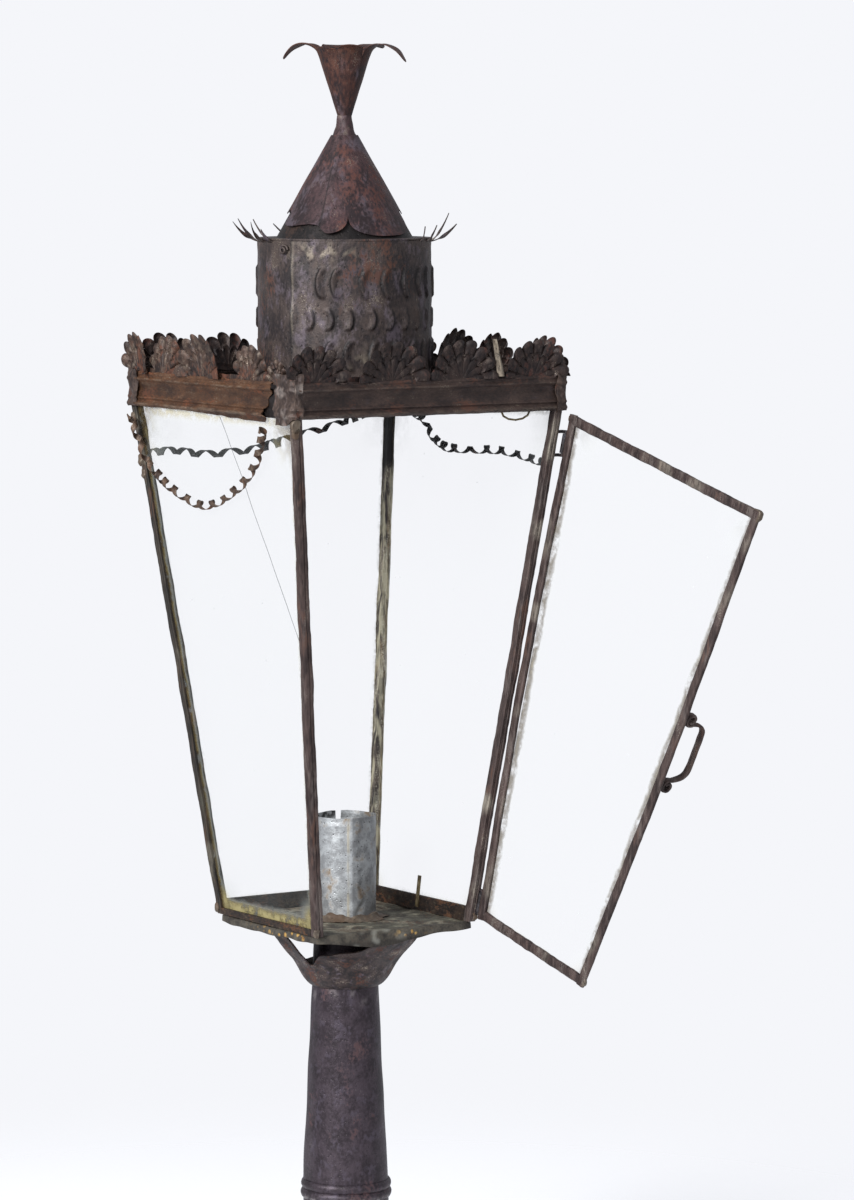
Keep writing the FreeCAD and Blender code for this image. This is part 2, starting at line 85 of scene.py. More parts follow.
TULIP_FOOT = (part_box("tulip_finial")[0].z - BASE) / MM
HINGE = frame["joints"][0]
HINGE_POINT = Vector(HINGE["pos_m"])
HINGE_AXIS = Vector(HINGE["axis"])
REST_ANGLE = -math.radians(HINGE["range_deg"][0])
HINGE_DEPTH = -HINGE_POINT.y / MM - FOOT_HALF
SHUT_TO_REST = (
    Matrix.Translation(HINGE_POINT)
    @ Matrix.Rotation(REST_ANGLE, 4, HINGE_AXIS)
    @ Matrix.Translation(-HINGE_POINT))

# The side that faces the camera, as an angle about the lantern's axis.
FACING = math.radians(237.6)


def at(x, y, h):
    """A point in millimetres, h above the base plate, as a place in metres."""
    return Vector((x * MM, y * MM, BASE + h * MM))


def around(radius, angle, h):
    return at(radius * math.cos(angle), radius * math.sin(angle), h)


def half(h):
    """From the axis to the centres of the posts at height h."""
    return FOOT_HALF + LEAN * h


def side_point(side, along, out, h):
    """A point on one side of the lantern: along runs to the right as that side is faced."""
    angle = SIDES.index(side) * TURN / 4
    x = out * math.cos(angle) - along * math.sin(angle)
    y = out * math.sin(angle) + along * math.cos(angle)
    return at(x, y, h)


def ruffle(point, size, strength):
    """A smooth random push for a point: dents of about that size, in millimetres."""
    return noise.noise_vector(point / (size * MM)) * strength * MM


def bump(value, centre, width):
    return math.exp(-((value - centre) / width) ** 2)


def smooth(value, low, high):
    share = min(max((value - low) / (high - low), 0.0), 1.0)
    return share * share * (3 - 2 * share)


def through(points, share):
    """A smooth curve through given points, at a share of its run."""
    place = share * (len(points) - 1)
    index = min(int(place), len(points) - 2)
    t = place - index
    ends = [points[max(index - 1, 0)], points[index], points[index + 1], points[min(index + 2, len(points) - 1)]]
    a, b, c, d = ends
    return 0.5 * (2 * b + (c - a) * t + (2 * a - 5 * b + 4 * c - d) * t ** 2 + (3 * b - a - 3 * c + d) * t ** 3)


# ---------------------------------------------------------------- modelling steps
def start_clean():
    if bpy.context.object and bpy.context.object.mode != "OBJECT":
        bpy.ops.object.mode_set(mode="OBJECT")
    bpy.ops.object.select_all(action="DESELECT")


def in_edit_mode(piece, *steps):
    """Runs edit-mode steps on all of a piece."""
    start_clean()
    piece.select_set(True)
    bpy.context.view_layer.objects.active = piece
    bpy.ops.object.mode_set(mode="EDIT")
    bpy.ops.mesh.select_all(action="SELECT")
    for step in steps:
        step()
    bpy.ops.object.mode_set(mode="OBJECT")


def merge_doubles():
    bpy.ops.mesh.remove_doubles(threshold=0.000002)


def close_ends():
    bpy.ops.mesh.fill_holes(sides=0)


def face_outwards():
    bpy.ops.mesh.select_all(action="SELECT")
    bpy.ops.mesh.normals_make_consistent(inside=False)


def apply_modifier(piece, kind, **settings):
    start_clean()
    piece.select_set(True)
    bpy.context.view_layer.objects.active = piece
    modifier = piece.modifiers.new(kind.title(), kind)
    for key, value in settings.items():
        setattr(modifier, key, value)
    bpy.ops.object.modifier_apply(modifier=modifier.name)


def shade(piece, degrees=38):
    start_clean()
    piece.select_set(True)
    bpy.context.view_layer.objects.active = piece
    bpy.ops.object.shade_smooth_by_angle(angle=math.radians(degrees))


def settle(piece):
    """Puts a piece's place into its mesh."""
    start_clean()
    piece.select_set(True)
    bpy.context.view_layer.objects.active = piece
    bpy.ops.object.transform_apply(location=True, rotation=True, scale=True)


def rename(piece, name):
    piece.name = name
    piece.data.name = name
    return piece


def bent_sheet(name, columns, rows, place, wall=0.5, closed=False):
    """A flat sheet of tin, bent to place(u, v).  Its front faces outwards where u runs to
    the right and v runs up."""
    start_clean()
    bpy.ops.mesh.primitive_grid_add(x_subdivisions=columns, y_subdivisions=rows, size=1.0)
    piece = rename(bpy.context.active_object, name)
    for vertex in piece.data.vertices:
        vertex.co = place(vertex.co.x + 0.5, vertex.co.y + 0.5)
    if closed:
        in_edit_mode(piece, merge_doubles)
    if wall:
        apply_modifier(piece, "SOLIDIFY", thickness=wall * MM, offset=-1.0, use_even_offset=False)
    shade(piece)
    return piece


def drawn_bar(name, outline, stations, degrees=50):
    """A bar with a constant section.  The outline's points are (a, b) in millimetres and each
    station is (centre, direction of a, direction of b)."""
    corners = len(outline)
    runs = len(stations) - 1

    def place(u, v):
        a, b = outline[round(u * corners) % corners]
        centre, along_a, along_b = stations[round(v * runs)]
        return centre + along_a * (a * MM) + along_b * (b * MM)

    piece = bent_sheet(name, corners, runs, place, wall=0)
    in_edit_mode(piece, merge_doubles, close_ends, face_outwards)
    shade(piece, degrees)
    return piece


def rod(name, points, radius, corners=10, steps=8):
    """Round wire along a smooth curve through points in metres."""
    count = steps * (len(points) - 1)
    centres = [through(points, index / count) for index in range(count + 1)]
    outline = [
        (radius * math.cos(TURN * index / corners), radius * math.sin(TURN * index / corners))
        for index in range(corners)]
    return drawn_bar(name, outline, stations_along(centres), 60)


def stations_along(centres):
    """Section frames along a line of points, carried on with the least twist."""
    stations = []
    side = None
    for index, centre in enumerate(centres):
        ahead = centres[min(index + 1, len(centres) - 1)] - centres[max(index - 1, 0)]
        ahead.normalize()
        if side is None:
            side = ahead.orthogonal().normalized()
        side = (side - ahead * side.dot(ahead)).normalized()
        stations.append((centre, side, ahead.cross(side)))
    return stations


def spun_tube(name, rings, corners=96):
    """A closed turned body: a circle drawn up ring by ring and joined to its own start.
    Rings are (radius, h), the outer wall upwards and the inner wall back down."""
    start_clean()
    first_radius, first_h = rings[0]
    bpy.ops.mesh.primitive_circle_add(
        vertices=corners, radius=first_radius * MM, location=(0, 0, BASE + first_h * MM))
    piece = rename(bpy.context.active_object, name)
    settle(piece)
    bpy.ops.object.mode_set(mode="EDIT")
    bpy.ops.mesh.select_all(action="SELECT")
    radius, level = first_radius, first_h
    for next_radius, next_h in rings[1:] + rings[:1]:
        bpy.ops.mesh.extrude_edges_move(TRANSFORM_OT_translate={"value": (0, 0, (next_h - level) * MM)})
        share = next_radius / radius
        bpy.ops.transform.resize(value=(share, share, 1), center_override=(0, 0, BASE + next_h * MM))
        radius, level = next_radius, next_h
    merge_and_face()
    bpy.ops.object.mode_set(mode="OBJECT")
    shade(piece, 30)
    return piece


def merge_and_face():
    bpy.ops.mesh.select_all(action="SELECT")
    bpy.ops.mesh.remove_doubles(threshold=0.000005)
    bpy.ops.mesh.normals_make_consistent(inside=False)


def roughen(piece, size, strength):
    """Small dents all over a finished piece."""
    for vertex in piece.data.vertices:
        vertex.co += ruffle(vertex.co, size, strength)


def lump(name, centre, radii, size=6.0, strength=1.2):
    """A dab of solder: a ball drawn out, flattened and dented."""
    start_clean()
    bpy.ops.mesh.primitive_ico_sphere_add(subdivisions=4, radius=1.0, location=centre)
    piece = rename(bpy.context.active_object, name)
    piece.scale = [radius * MM for radius in radii]
    settle(piece)
    roughen(piece, size, strength)
    shade(piece, 80)
    return piece


def joined(name, pieces):
    start_clean()
    for piece in pieces:
        piece.select_set(True)
    bpy.context.view_layer.objects.active = pieces[0]
    bpy.ops.object.join()
    return rename(bpy.context.active_object, name)


def finished(piece, body, slot, material, *nodes):
    """Gives a piece its finish, its body and the nodes that it stands for."""
    piece.data.materials.clear()
    piece.data.materials.append(material)
    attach(piece, body)
    if nodes:
        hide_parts(*nodes)
    return piece


# ---------------------------------------------------------------- finishes
def colour(red, green, blue):
    """A colour in everyday 0 to 255 values as the shader takes it."""
    shares = [value / 255 for value in (red, green, blue)]
    linear = [s / 12.92 if s <= 0.04045 else ((s + 0.055) / 1.055) ** 2.4 for s in shares]
    return (*linear, 1.0)


class Flow:
    """A shader socket that takes part in sums: an expression on it adds its Math nodes."""

    def __init__(self, finish, socket):
        self.finish = finish
        self.socket = socket

    def maths(self, operation, first, second=0.0):
        return self.finish.node("Math", {"operation": operation}, {0: first, 1: second})

    def __add__(self, other):
        return self.maths("ADD", self, other)

    def __radd__(self, other):
        return self.maths("ADD", other, self)

    def __sub__(self, other):
        return self.maths("SUBTRACT", self, other)

    def __rsub__(self, other):
        return self.maths("SUBTRACT", other, self)

    def __mul__(self, other):
        return self.maths("MULTIPLY", self, other)

    def __rmul__(self, other):
        return self.maths("MULTIPLY", other, self)

    def __abs__(self):
        return self.maths("ABSOLUTE", self)


class Finish:
    """A material in the making: it adds nodes and gives back their sockets."""

    def __init__(self, name):
        self.material = bpy.data.materials.new(name)
        self.material.use_nodes = True
        self.tree = self.material.node_tree
        self.shader = self.tree.nodes["Principled BSDF"]
        self.place = self.node("TexCoord", output="Object")

    def plug(self, socket, value):
        if isinstance(value, Flow):
            self.tree.links.new(value.socket, socket)
        else:
            socket.default_value = value

    def node(self, kind, settings=None, inputs=None, output=0):
        node = self.tree.nodes.new("ShaderNode" + kind)
        for key, value in (settings or {}).items():
            setattr(node, key, value)
        for key, value in (inputs or {}).items():
            if isinstance(key, str):
                self.plug(next(s for s in node.inputs if s.name == key and s.enabled), value)
            else:
                self.plug(node.inputs[key], value)
        if isinstance(output, str):
            return Flow(self, next(s for s in node.outputs if s.name == output and s.enabled))
        return Flow(self, node.outputs[output])

    def stretched(self, upwards):
        """Places with the pattern drawn out along Z."""
        return self.node("Mapping", {}, {"Vector": self.place, "Scale": (1, 1, 1 / upwards)})

    def mottle(self, size, place=None, detail=3.0, shift=0.0):
        """Cloudy noise with patches of about that size in millimetres, from 0 to 1."""
        place = place or self.place
        if shift:
            place = self.node("Mapping", {}, {"Vector": place, "Location": (shift, shift, shift)})
        return self.node(
            "TexNoise", {}, {"Vector": place, "Scale": 1 / (size * MM), "Detail": detail}, "Fac")

    def spots(self, size, place=None):
        """Distance from the nearest of scattered points, in sizes of the pattern."""
        return self.node("TexVoronoi", {}, {"Vector": place or self.place, "Scale": 1 / (size * MM)}, "Distance")

    def step(self, value, low, high):
        """Goes smoothly from 0 at low to 1 at high."""
        return self.node(
            "MapRange", {"interpolation_type": "SMOOTHSTEP"},
            {"Value": value, "From Min": low, "From Max": high}, "Result")

    def mix(self, factor, first, second, blend="MIX"):
        return self.node(
            "Mix", {"data_type": "RGBA", "blend_type": blend},
            {"Factor": factor, "A": first, "B": second}, "Result")

    def mark(self, name):
        """A painted share from 0 to 1 that follows the piece."""
        return self.node("Attribute", {"attribute_name": name}, {}, "Fac")

    def axes(self, place=None):
        """The three coordinates, each in metres."""
        source = place or self.place
        return [self.node("SeparateXYZ", {}, {0: source}, output) for output in range(3)]

    def bumped(self, height, depth, strength=1.0):
        """Relief with that depth in millimetres."""
        self.plug(self.shader.inputs["Normal"], self.node(
            "Bump", {}, {"Height": height, "Distance": depth * MM, "Strength": strength}))

    def set(self, **values):
        for key, value in values.items():
            self.plug(self.shader.inputs[key.replace("_", " ")], value)


def old_tin(name, ground, deep, rust, bloom, wear_and_highlight, rusting, blooming, wearing,
            streak=1.6, shine=0.45, metal=0.35, shift=0.0, patch=22.0):
    """Old tinned iron: a dark skin with rust, a grey or purple bloom, worn bright spots and grit."""
    finish = Finish(name)
    place = finish.stretched(streak)
    broad = finish.mottle(patch, place, 4, 0.11 + shift)
    cloud = finish.mottle(patch * 0.55, place, 4, 0.37 + shift)
    veil = finish.mottle(patch * 0.4, place, 5, 0.71 + shift)
    grain = finish.mottle(1.8, place, 3)
    grit = finish.mottle(0.55, None, 2)
    speck = finish.spots(2.6, place)
    skin = finish.mix(finish.step(cloud * 0.6 + grain * 0.4, 0.36, 0.62), deep, ground)
    rusted = finish.step(broad * 0.65 + grain * 0.35, 0.62 - 0.22 * rusting, 0.70 - 0.14 * rusting)
    bloomed = finish.step(veil * 0.7 + grain * 0.3, 0.64 - 0.24 * blooming, 0.74 - 0.16 * blooming)
    worn = finish.step(cloud * 0.45 + grit * 0.55 + veil * 0.15, 0.72 - 0.16 * wearing, 0.80 - 0.14 * wearing)
    pitted = 1.0 - finish.step(speck, 0.10, 0.26)
    skin = finish.mix(bloomed * 0.75, skin, bloom)
    skin = finish.mix(rusted * 0.85, skin, rust)
    skin = finish.mix(worn * 0.8, skin, wear_and_highlight)
    # This mark lightens the tin towards its bare colour: worn spots, and painted highlights on the cornice ridges and
    # the door bars.
    bright = finish.mark("wear_and_highlight")
    skin = finish.mix(bright * finish.step(grit * 0.4 + grain * 0.6, 0.30, 0.55), skin, wear_and_highlight)
    skin = finish.mix(pitted * 0.55, skin, deep)
    # This mark darkens the tin. It is painted shade in the drum's crescent lines, the hollows of the mouldings, the
    # cap's inner side and the cup's far side. Elsewhere it is stains and plain darkening.
    soot_and_shade = finish.mark("soot_and_shade")
    skin = finish.mix(soot_and_shade, skin, colour(16, 12, 14))
    skin = finish.mix(grit * 0.35, skin, finish.mix(1.0, skin, colour(120, 112, 108), "MULTIPLY"))
    relief = grain * 0.7 + grit * 0.35 - pitted * 0.5 - rusted * 0.25
    finish.bumped(relief, 0.55, 0.55)
    rough = shine + rusted * 0.22 + grain * 0.18 - worn * 0.12 - bright * 0.15
    finish.set(Base_Color=skin, Roughness=rough, Metallic=metal - rusted * metal * 0.7)
    return finish.material


def pewter(name, light, grey, stain, staining, shift=0.0, metal=0.75):
    """Solder or bare tin: silvery, dull in patches, with brown stains and black pits."""
    finish = Finish(name)
    broad = finish.mottle(14, None, 4, 0.2 + shift)
    cloud = finish.mottle(5, None, 4, 0.5 + shift)
    grain = finish.mottle(0.9, None, 3)
    speck = finish.spots(3.1)
    face = finish.mix(finish.step(cloud * 0.7 + grain * 0.3, 0.38, 0.62), grey, light)
    stained = finish.step(broad * 0.6 + cloud * 0.4, 0.62 - 0.25 * staining, 0.70 - 0.12 * staining)
    face = finish.mix(stained * 0.9, face, stain)
    pitted = 1.0 - finish.step(speck + cloud * 0.2, 0.17, 0.30)
    face = finish.mix(pitted * 0.7, face, colour(38, 32, 30))
    # This mark darkens the tin: stains inside the cup, and painted shade on the cup's side turned from the light.
    face = finish.mix(finish.mark("soot_and_shade"), face, colour(24, 19, 18))
    face = finish.mix(finish.mark("wear_and_highlight"), face, colour(214, 206, 186))
    finish.bumped(cloud * 0.8 + grain * 0.4 - pitted * 0.6, 0.5, 0.5)
    finish.set(
        Base_Color=face, Roughness=0.34 + stained * 0.3 + grain * 0.15,
        Metallic=metal - stained * metal * 0.8)
    return finish.material


def base_dirt(name):
    """The base plate: grey-green dirt, pale lime patches, rust at the edges and amber wax on the rim."""
    finish = Finish(name)
    broad = finish.mottle(24, None, 4, 0.4)
    cloud = finish.mottle(7, None, 5, 0.1)
    grain = finish.mottle(1.3, None, 3)
    x, y, z = finish.axes()
    face = finish.mix(finish.step(cloud * 0.7 + grain * 0.3, 0.32, 0.66), colour(56, 52, 46), colour(108, 106, 92))
    pale = finish.step(broad * 0.5 + cloud * 0.5, 0.53, 0.60)
    face = finish.mix(pale * 0.45, face, colour(170, 164, 144))
    rusted = finish.step(broad * 0.4 + grain * 0.6, 0.54, 0.62)
    face = finish.mix(rusted * 0.7, face, colour(92, 56, 34))
    edge = finish.step(abs(x).maths("MAXIMUM", abs(x), abs(y)), (PLATE_HALF - 7) * MM, (PLATE_HALF - 1) * MM)
    face = finish.mix(edge * 0.85, face, finish.mix(finish.step(cloud * 0.6 + grain * 0.4, 0.36, 0.64), colour(46, 42, 39), colour(80, 74, 66)))
    wax = finish.mark("wax") * (1.0 - finish.step(finish.spots(4.2) + grain * 0.25, 0.42, 0.54))
    amber = finish.mix(finish.step(cloud * 0.5 + grain * 0.5, 0.38, 0.6), colour(120, 76, 22), colour(196, 160, 92))
    face = finish.mix(wax, face, amber)
    face = finish.mix(finish.mark("soot_and_shade"), face, colour(22, 18, 18))
    face = finish.mix(finish.mark("wear_and_highlight"), face, colour(178, 178, 168))
    finish.bumped(cloud + grain * 0.5 + wax * 0.8, 0.8, 0.6)
    finish.set(Base_Color=face, Roughness=0.72 - wax * 0.4 + grain * 0.1, Metallic=0.1)
    return finish.material


def old_glass(name, along, height, outward, width_low, width_slope, grime, crack=()):
    """Thin clear glass with yellow-brown grime on its outer face, along its edges.  along, height
    and outward are functions of the finish, in metres; outward counts from the glass's middle.
    The half width is width_low plus width_slope times height."""
    finish = Finish(name)
    across, rise = along(finish), height(finish)
    cloud = finish.mottle(11, None, 5, 0.3)
    blot = finish.mottle(30, None, 3, 0.6)
    grain = finish.mottle(2.2, None, 4)
    edge = width_low * MM + rise * width_slope - abs(across)
    head = GLAZED * MM - rise
    near_side = 1.0 - finish.step(edge + (cloud - 0.5) * 0.009, 0.0002, 0.0030 + 0.0045 * grime)
    near_foot = 1.0 - finish.step(rise + (cloud - 0.5) * 0.008, 0.005, 0.010 + 0.003 * grime)
    near_head = 1.0 - finish.step(head + (cloud - 0.5) * 0.010, 0.001, 0.005 + 0.004 * grime)
    corner = (1.0 - finish.step(edge + (blot - 0.5) * 0.03, 0.0, 0.034)) * (
        1.0 - finish.step(head + (cloud - 0.5) * 0.03, 0.0, 0.044))
    low_corner = (1.0 - finish.step(edge, 0.001, 0.018)) * (1.0 - finish.step(rise, 0.004, 0.026))
    rim = near_side.maths("MAXIMUM", near_side, near_foot)
    rim = rim.maths("MAXIMUM", rim, near_head * 0.8)
    rim = rim * finish.step(cloud * 0.75 + grain * 0.25, 0.30, 0.58)
    haze = corner.maths("MAXIMUM", corner * finish.step(cloud, 0.30, 0.62), low_corner * 0.9)
    outer = finish.step(outward(finish), -0.0003, 0.0003)
    dirt = rim.maths("MAXIMUM", rim * 0.9, haze * grime) * outer
    fleck = (1.0 - finish.step(finish.spots(9), 0.035, 0.075)) * finish.step(blot, 0.52, 0.62)
    close = 1.0 - finish.step(edge, 0.0005, 0.007)
    tint = finish.mix(finish.step(cloud * 0.5 + grain * 0.2 - close * 0.35 - corner * 0.45, 0.02, 0.40),
                      colour(84, 70, 40), colour(192, 180, 128))
    face = finish.mix(finish.step(dirt, 0.0, 0.45), colour(226, 234, 232), tint)
    film = (0.02 + blot * 0.03) * outer
    alpha = film + dirt * 0.80 + fleck * 0.4 * outer
    if crack:
        (start, start_h), (end, end_h) = crack
        run = math.hypot(end - start, end_h - start_h) * MM
        along_x = (end - start) * MM / run
        along_h = (end_h - start_h) * MM / run
        away = (across - start * MM) * along_h - (rise - start_h * MM) * along_x
        past = (across - start * MM) * along_x + (rise - start_h * MM) * along_h
        bow = (finish.mottle(40, None, 1, 0.2) - 0.5) * 0.004
        line = 1.0 - finish.step(abs(away + bow), 0.00022, 0.00045)
        line = line * finish.step(past, -0.002, 0.0) * (1.0 - finish.step(past, run, run + 0.004)) * outer
        face = finish.mix(line, face, colour(70, 74, 78))
        alpha = alpha + line * 0.75
    finish.set(
        Base_Color=face, Alpha=alpha.maths("MINIMUM", alpha, 1.0),
        Roughness=0.06 + dirt * 0.6)
    finish.shader.inputs["IOR"].default_value = 1.5
    return finish.material


def side_glass(side, grime, crack=()):
    turn = SIDES.index(side)
    axis = 1 if turn % 2 == 0 else 0
    sign = (1, -1, -1, 1)[turn]

    def along(finish):
        return finish.axes()[axis] * sign

    def height(finish):
        return finish.axes()[2] - BASE

    def outward(finish):
        return finish.axes()[1 - axis] * (1 if turn < 2 else -1) - height(finish) * LEAN - FOOT_HALF * MM

    return old_glass("glass_" + side, along, height, outward, FOOT_HALF - 1.5, LEAN, grime, crack)


def door_glass():
    """The door's glass is worked out as if the door were shut."""
    shut = SHUT_TO_REST.inverted()

    def shut_axes(finish):
        return finish.axes(finish.node(
            "Mapping", {}, {
                "Vector": finish.place, "Location": shut.to_translation(),
                "Rotation": shut.to_euler("XYZ")}))

    # The door widens towards its hinge, so its middle line leans that way.
    widening = 2.5 / GLAZED

    def along(finish):
        x, _, z = shut_axes(finish)
        return x - 0.5 * MM - (z - BASE) * widening

    def height(finish):
        return shut_axes(finish)[2] - BASE

    def outward(finish):
        return (FOOT_HALF + 5.0) * -MM - height(finish) * LEAN - shut_axes(finish)[1]

    return old_glass("glass_door", along, height, outward, FOOT_HALF - 7.2, LEAN + widening, 0.35)


def make_finishes():
    """Every finish, by a short name."""
    look = bpy.context.scene.lantern_colours
    ground, rust, bloom, wear_and_highlight = (tuple(c) for c in (look.skin, look.rust, look.bloom, look.wear_and_highlight))
    deep = colour(26, 19, 19)
    return {
        "cap": old_tin("cap_tin", colour(84, 62, 64), colour(48, 37, 40), colour(98, 58, 48), bloom, wear_and_highlight,
                       0.50, 0.60, 0.25, streak=2.2, shift=0.3),
        "tulip": old_tin("tulip_tin", colour(84, 52, 44), colour(40, 30, 34), rust, bloom, wear_and_highlight,
                         0.75, 0.35, 0.30, streak=2.6, shift=0.9),
        "drum": old_tin("drum_tin", colour(82, 70, 66), colour(44, 38, 40), colour(92, 58, 44), bloom, wear_and_highlight,
                        0.30, 0.55, 0.22, shift=0.5),
        # The left band's tin is a lighter, redder copy of the others'. It is partly its own redder rust and partly
        # painted light for the side that faces the lamp.
        "cornice_left": old_tin("cornice_red_lit_side_tin", colour(108, 74, 50), colour(72, 49, 36), colour(114, 66, 40),
                                colour(122, 98, 78), wear_and_highlight, 0.40, 0.35, 0.25, streak=0.35, shift=0.6),
        "cornice": old_tin("cornice_dark_shaded_side_tin", colour(82, 66, 60), colour(52, 42, 40), colour(90, 58, 46),
                           colour(70, 62, 66), wear_and_highlight, 0.35, 0.35, 0.15, streak=0.5, shift=1.4),
        # The left palmettes take a lighter copy of the same tin and the others a darker one: painted light for the side
        # facing the lamp, painted shade for the sides turned away.
        "crest": old_tin("crest_tin", colour(88, 68, 58), colour(44, 34, 32), colour(100, 58, 40),
                         colour(118, 106, 94), wear_and_highlight, 0.50, 0.50, 0.35, shift=0.2, patch=12),
        "shaded_side_crest": old_tin("dark_crest_tin", colour(64, 50, 46), colour(33, 25, 26), colour(84, 50, 42),
                              colour(96, 86, 80), wear_and_highlight, 0.35, 0.40, 0.25, shift=0.2, patch=12),
        "gusset": old_tin("gusset_tin", colour(90, 74, 66), colour(52, 41, 38), rust,
                          colour(110, 98, 96), colour(164, 154, 148), 0.35, 0.45, 0.20, shift=0.1, patch=9),
        "post": old_tin("post_tin", colour(94, 78, 74), colour(54, 43, 42), colour(92, 64, 52), colour(112, 102, 98),
                        colour(172, 164, 150), 0.30, 0.55, 0.30, streak=5, shift=0.4, patch=14),
        "pale_post": old_tin("flaking_post_tin", colour(96, 84, 74), colour(36, 32, 36), colour(112, 88, 60),
                             colour(196, 190, 164), colour(224, 220, 200), 0.30, 0.80, 0.7, streak=7, shift=0.8,
                             patch=9, metal=0.1),
        "green_post": old_tin("green_post_tin", colour(66, 58, 50), colour(34, 32, 30), colour(86, 60, 46),
                              colour(78, 80, 70), colour(112, 106, 94), 0.45, 0.35, 0.10, streak=6, shift=1.1,
                              patch=12),
        "ferrule": old_tin("ferrule_tin", colour(74, 64, 72), colour(48, 40, 46), colour(84, 60, 62),
                           colour(84, 76, 88), colour(130, 122, 124), 0.25, 0.50, 0.10, streak=1.2, shine=0.36,
                           metal=0.45, shift=0.7, patch=18),
        "calyx": old_tin("calyx_tin", colour(78, 64, 62), colour(34, 28, 30), rust, bloom, wear_and_highlight,
                         0.40, 0.45, 0.45, streak=0.8, shift=0.25, patch=14),
        # A darker copy of the tin for the roof plate, vent cone and top rails, which stand inside the top and under the
        # cap: painted shade.
        "inside": old_tin("shaded_inside_tin", colour(38, 32, 31), colour(20, 16, 17), colour(58, 40, 32), colour(48, 44, 46),
                          colour(92, 84, 76), 0.40, 0.30, 0.20, shift=0.15),
        "rail": old_tin("rail_tin", colour(66, 51, 41), colour(33, 27, 25), colour(96, 62, 38), colour(88, 82, 68),
                        colour(146, 136, 106), 0.45, 0.35, 0.25, streak=0.6, shift=0.9, patch=10),
        "cup": pewter("cup_tin", colour(206, 210, 212), colour(164, 166, 168), colour(132, 112, 88), 0.30,
                      0.6, 0.65),
        "solder": pewter("solder", colour(190, 190, 188), colour(124, 120, 114), colour(98, 78, 60), 0.35),
        "dull_solder": pewter("dull_solder", colour(128, 118, 104), colour(90, 79, 69), colour(84, 64, 48),
                              0.75, 0.35, 0.35),
        "base": base_dirt("base_plate_dirt"),
        "wire": old_tin("dark_wire", colour(58, 54, 58), deep, colour(78, 54, 44), colour(74, 76, 86),
                        colour(130, 126, 120), 0.25, 0.45, 0.25, shift=0.45, patch=8),
        "brown_ribbon": old_tin("brown_ribbon", colour(112, 90, 74), colour(62, 48, 42), colour(112, 74, 52),
                                colour(132, 118, 104), colour(176, 166, 150), 0.45, 0.50, 0.3, shift=0.55, patch=8),
        "brass_wire": old_tin("brassy_wire", colour(150, 134, 98), colour(90, 76, 52), colour(120, 88, 50),
                              colour(168, 158, 132), colour(206, 198, 170), 0.3, 0.4, 0.3, patch=5),
        "glass_right": side_glass("right", 0.45),
        "glass_back": side_glass("back", 0.35),
        "glass_left": side_glass("left", 1.0, ((8.0, 306.0), (70.0, 179.0))),
        "glass_door": door_glass(),
    }


FINISHES = {}


def paint(piece, name, share):
    """Paints a share from 0 to 1 on a piece; share is worked out from a point in metres."""
    mark = piece.data.attributes.new(name, "FLOAT", "POINT")
    for vertex in piece.data.vertices:
        mark.data[vertex.index].value = min(max(share(vertex.co), 0.0), 1.0)


def coat(name, finish):
    """Gives a carried-over frame part its finish."""
    node = frame["nodes"][name]
    for index in range(max(len(node.data.materials), 1)):
        if node.data.materials:
            node.data.materials[index] = FINISHES[finish]
        else:
            node.data.materials.append(FINISHES[finish])


# ---------------------------------------------------------------- foot
def lapped_tube(name, columns, rows, seam, radius, low, high, wall, lap=0.12, lift=0.9, dent=(18.0, 0.35)):
    """Sheet wrapped round the axis from the seam, with its last stretch tucked under its first.
    radius(angle, h), low(angle) and high(angle) give its shape."""
    def place(u, v):
        angle = seam + u * (TURN + lap)
        foot, head = low(angle), high(angle)
        h = foot + (head - foot) * v
        over = lift * (1 - smooth(u, 0.0, 0.06))
        point = around(radius(angle, h) + over, angle, h)
        return point + ruffle(point, *dent)
    return bent_sheet(name, columns, rows, place, wall)


MOUTH = (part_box("bead_band")[0].z - BASE) / MM
NECK = (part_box("calyx_collar")[0].z - BASE) / MM


def ferrule_radius(h):
    return 26.1 - 6.0 * (h - MOUTH) / (NECK - MOUTH)


def build_ferrule():
    piece = lapped_tube(
        "ferrule_skin", 120, 90, math.radians(150), lambda angle, h: ferrule_radius(h) - 0.2,
        lambda angle: MOUTH, lambda angle: -1.0, 0.8, lift=0.7, dent=(26.0, 0.5))
    paint(piece, "wear_and_highlight", lambda p: 0.8 * bump((p.z - BASE) / MM, NECK - 4, 5) * smooth(noise.noise(p * 160), 0.1, 0.5))
    return finished(piece, "lantern", "ferrule_tin", FINISHES["ferrule"], "ferrule_cone")


def build_sleeve():
    low = -BASE / MM
    high = (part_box("pole_sleeve")[1].z - BASE) / MM
    piece = lapped_tube(
        "sleeve_skin", 96, 30, math.radians(150), lambda angle, h: 26.0, lambda angle: low,
        lambda angle: high + 0.4, 0.9, lap=0.0, lift=0.0, dent=(30.0, 0.2))
    return finished(piece, "lantern", "ferrule_tin", FINISHES["ferrule"], "pole_sleeve")


def build_bead_band():
    """Two rolled beads with a little rope-like unevenness."""
    low = MOUTH
    rings = []
    beads, height, steps = 2, 11.0, 12
    for index in range(beads * steps + 1):
        share = index / steps
        h = low + height * share / beads
        swell = abs(math.sin(math.pi * share)) ** 0.7
        rings.append((ferrule_radius(h) + 0.4 + 1.3 * swell, h))
    rings += [(ferrule_radius(low + height) - 0.6, low + height), (ferrule_radius(low) - 0.6, low)]
    piece = spun_tube("bead_band_rings", rings, 120)
    roughen(piece, 5.0, 0.25)
    paint(piece, "wear_and_highlight", lambda p: 1.2 * bump((p.z - BASE) / MM, low + 0.5, 1.6) * smooth(noise.noise(p * 400), -0.1, 0.3))
    return finished(piece, "lantern", "ferrule_tin", FINISHES["ferrule"], "bead_band")


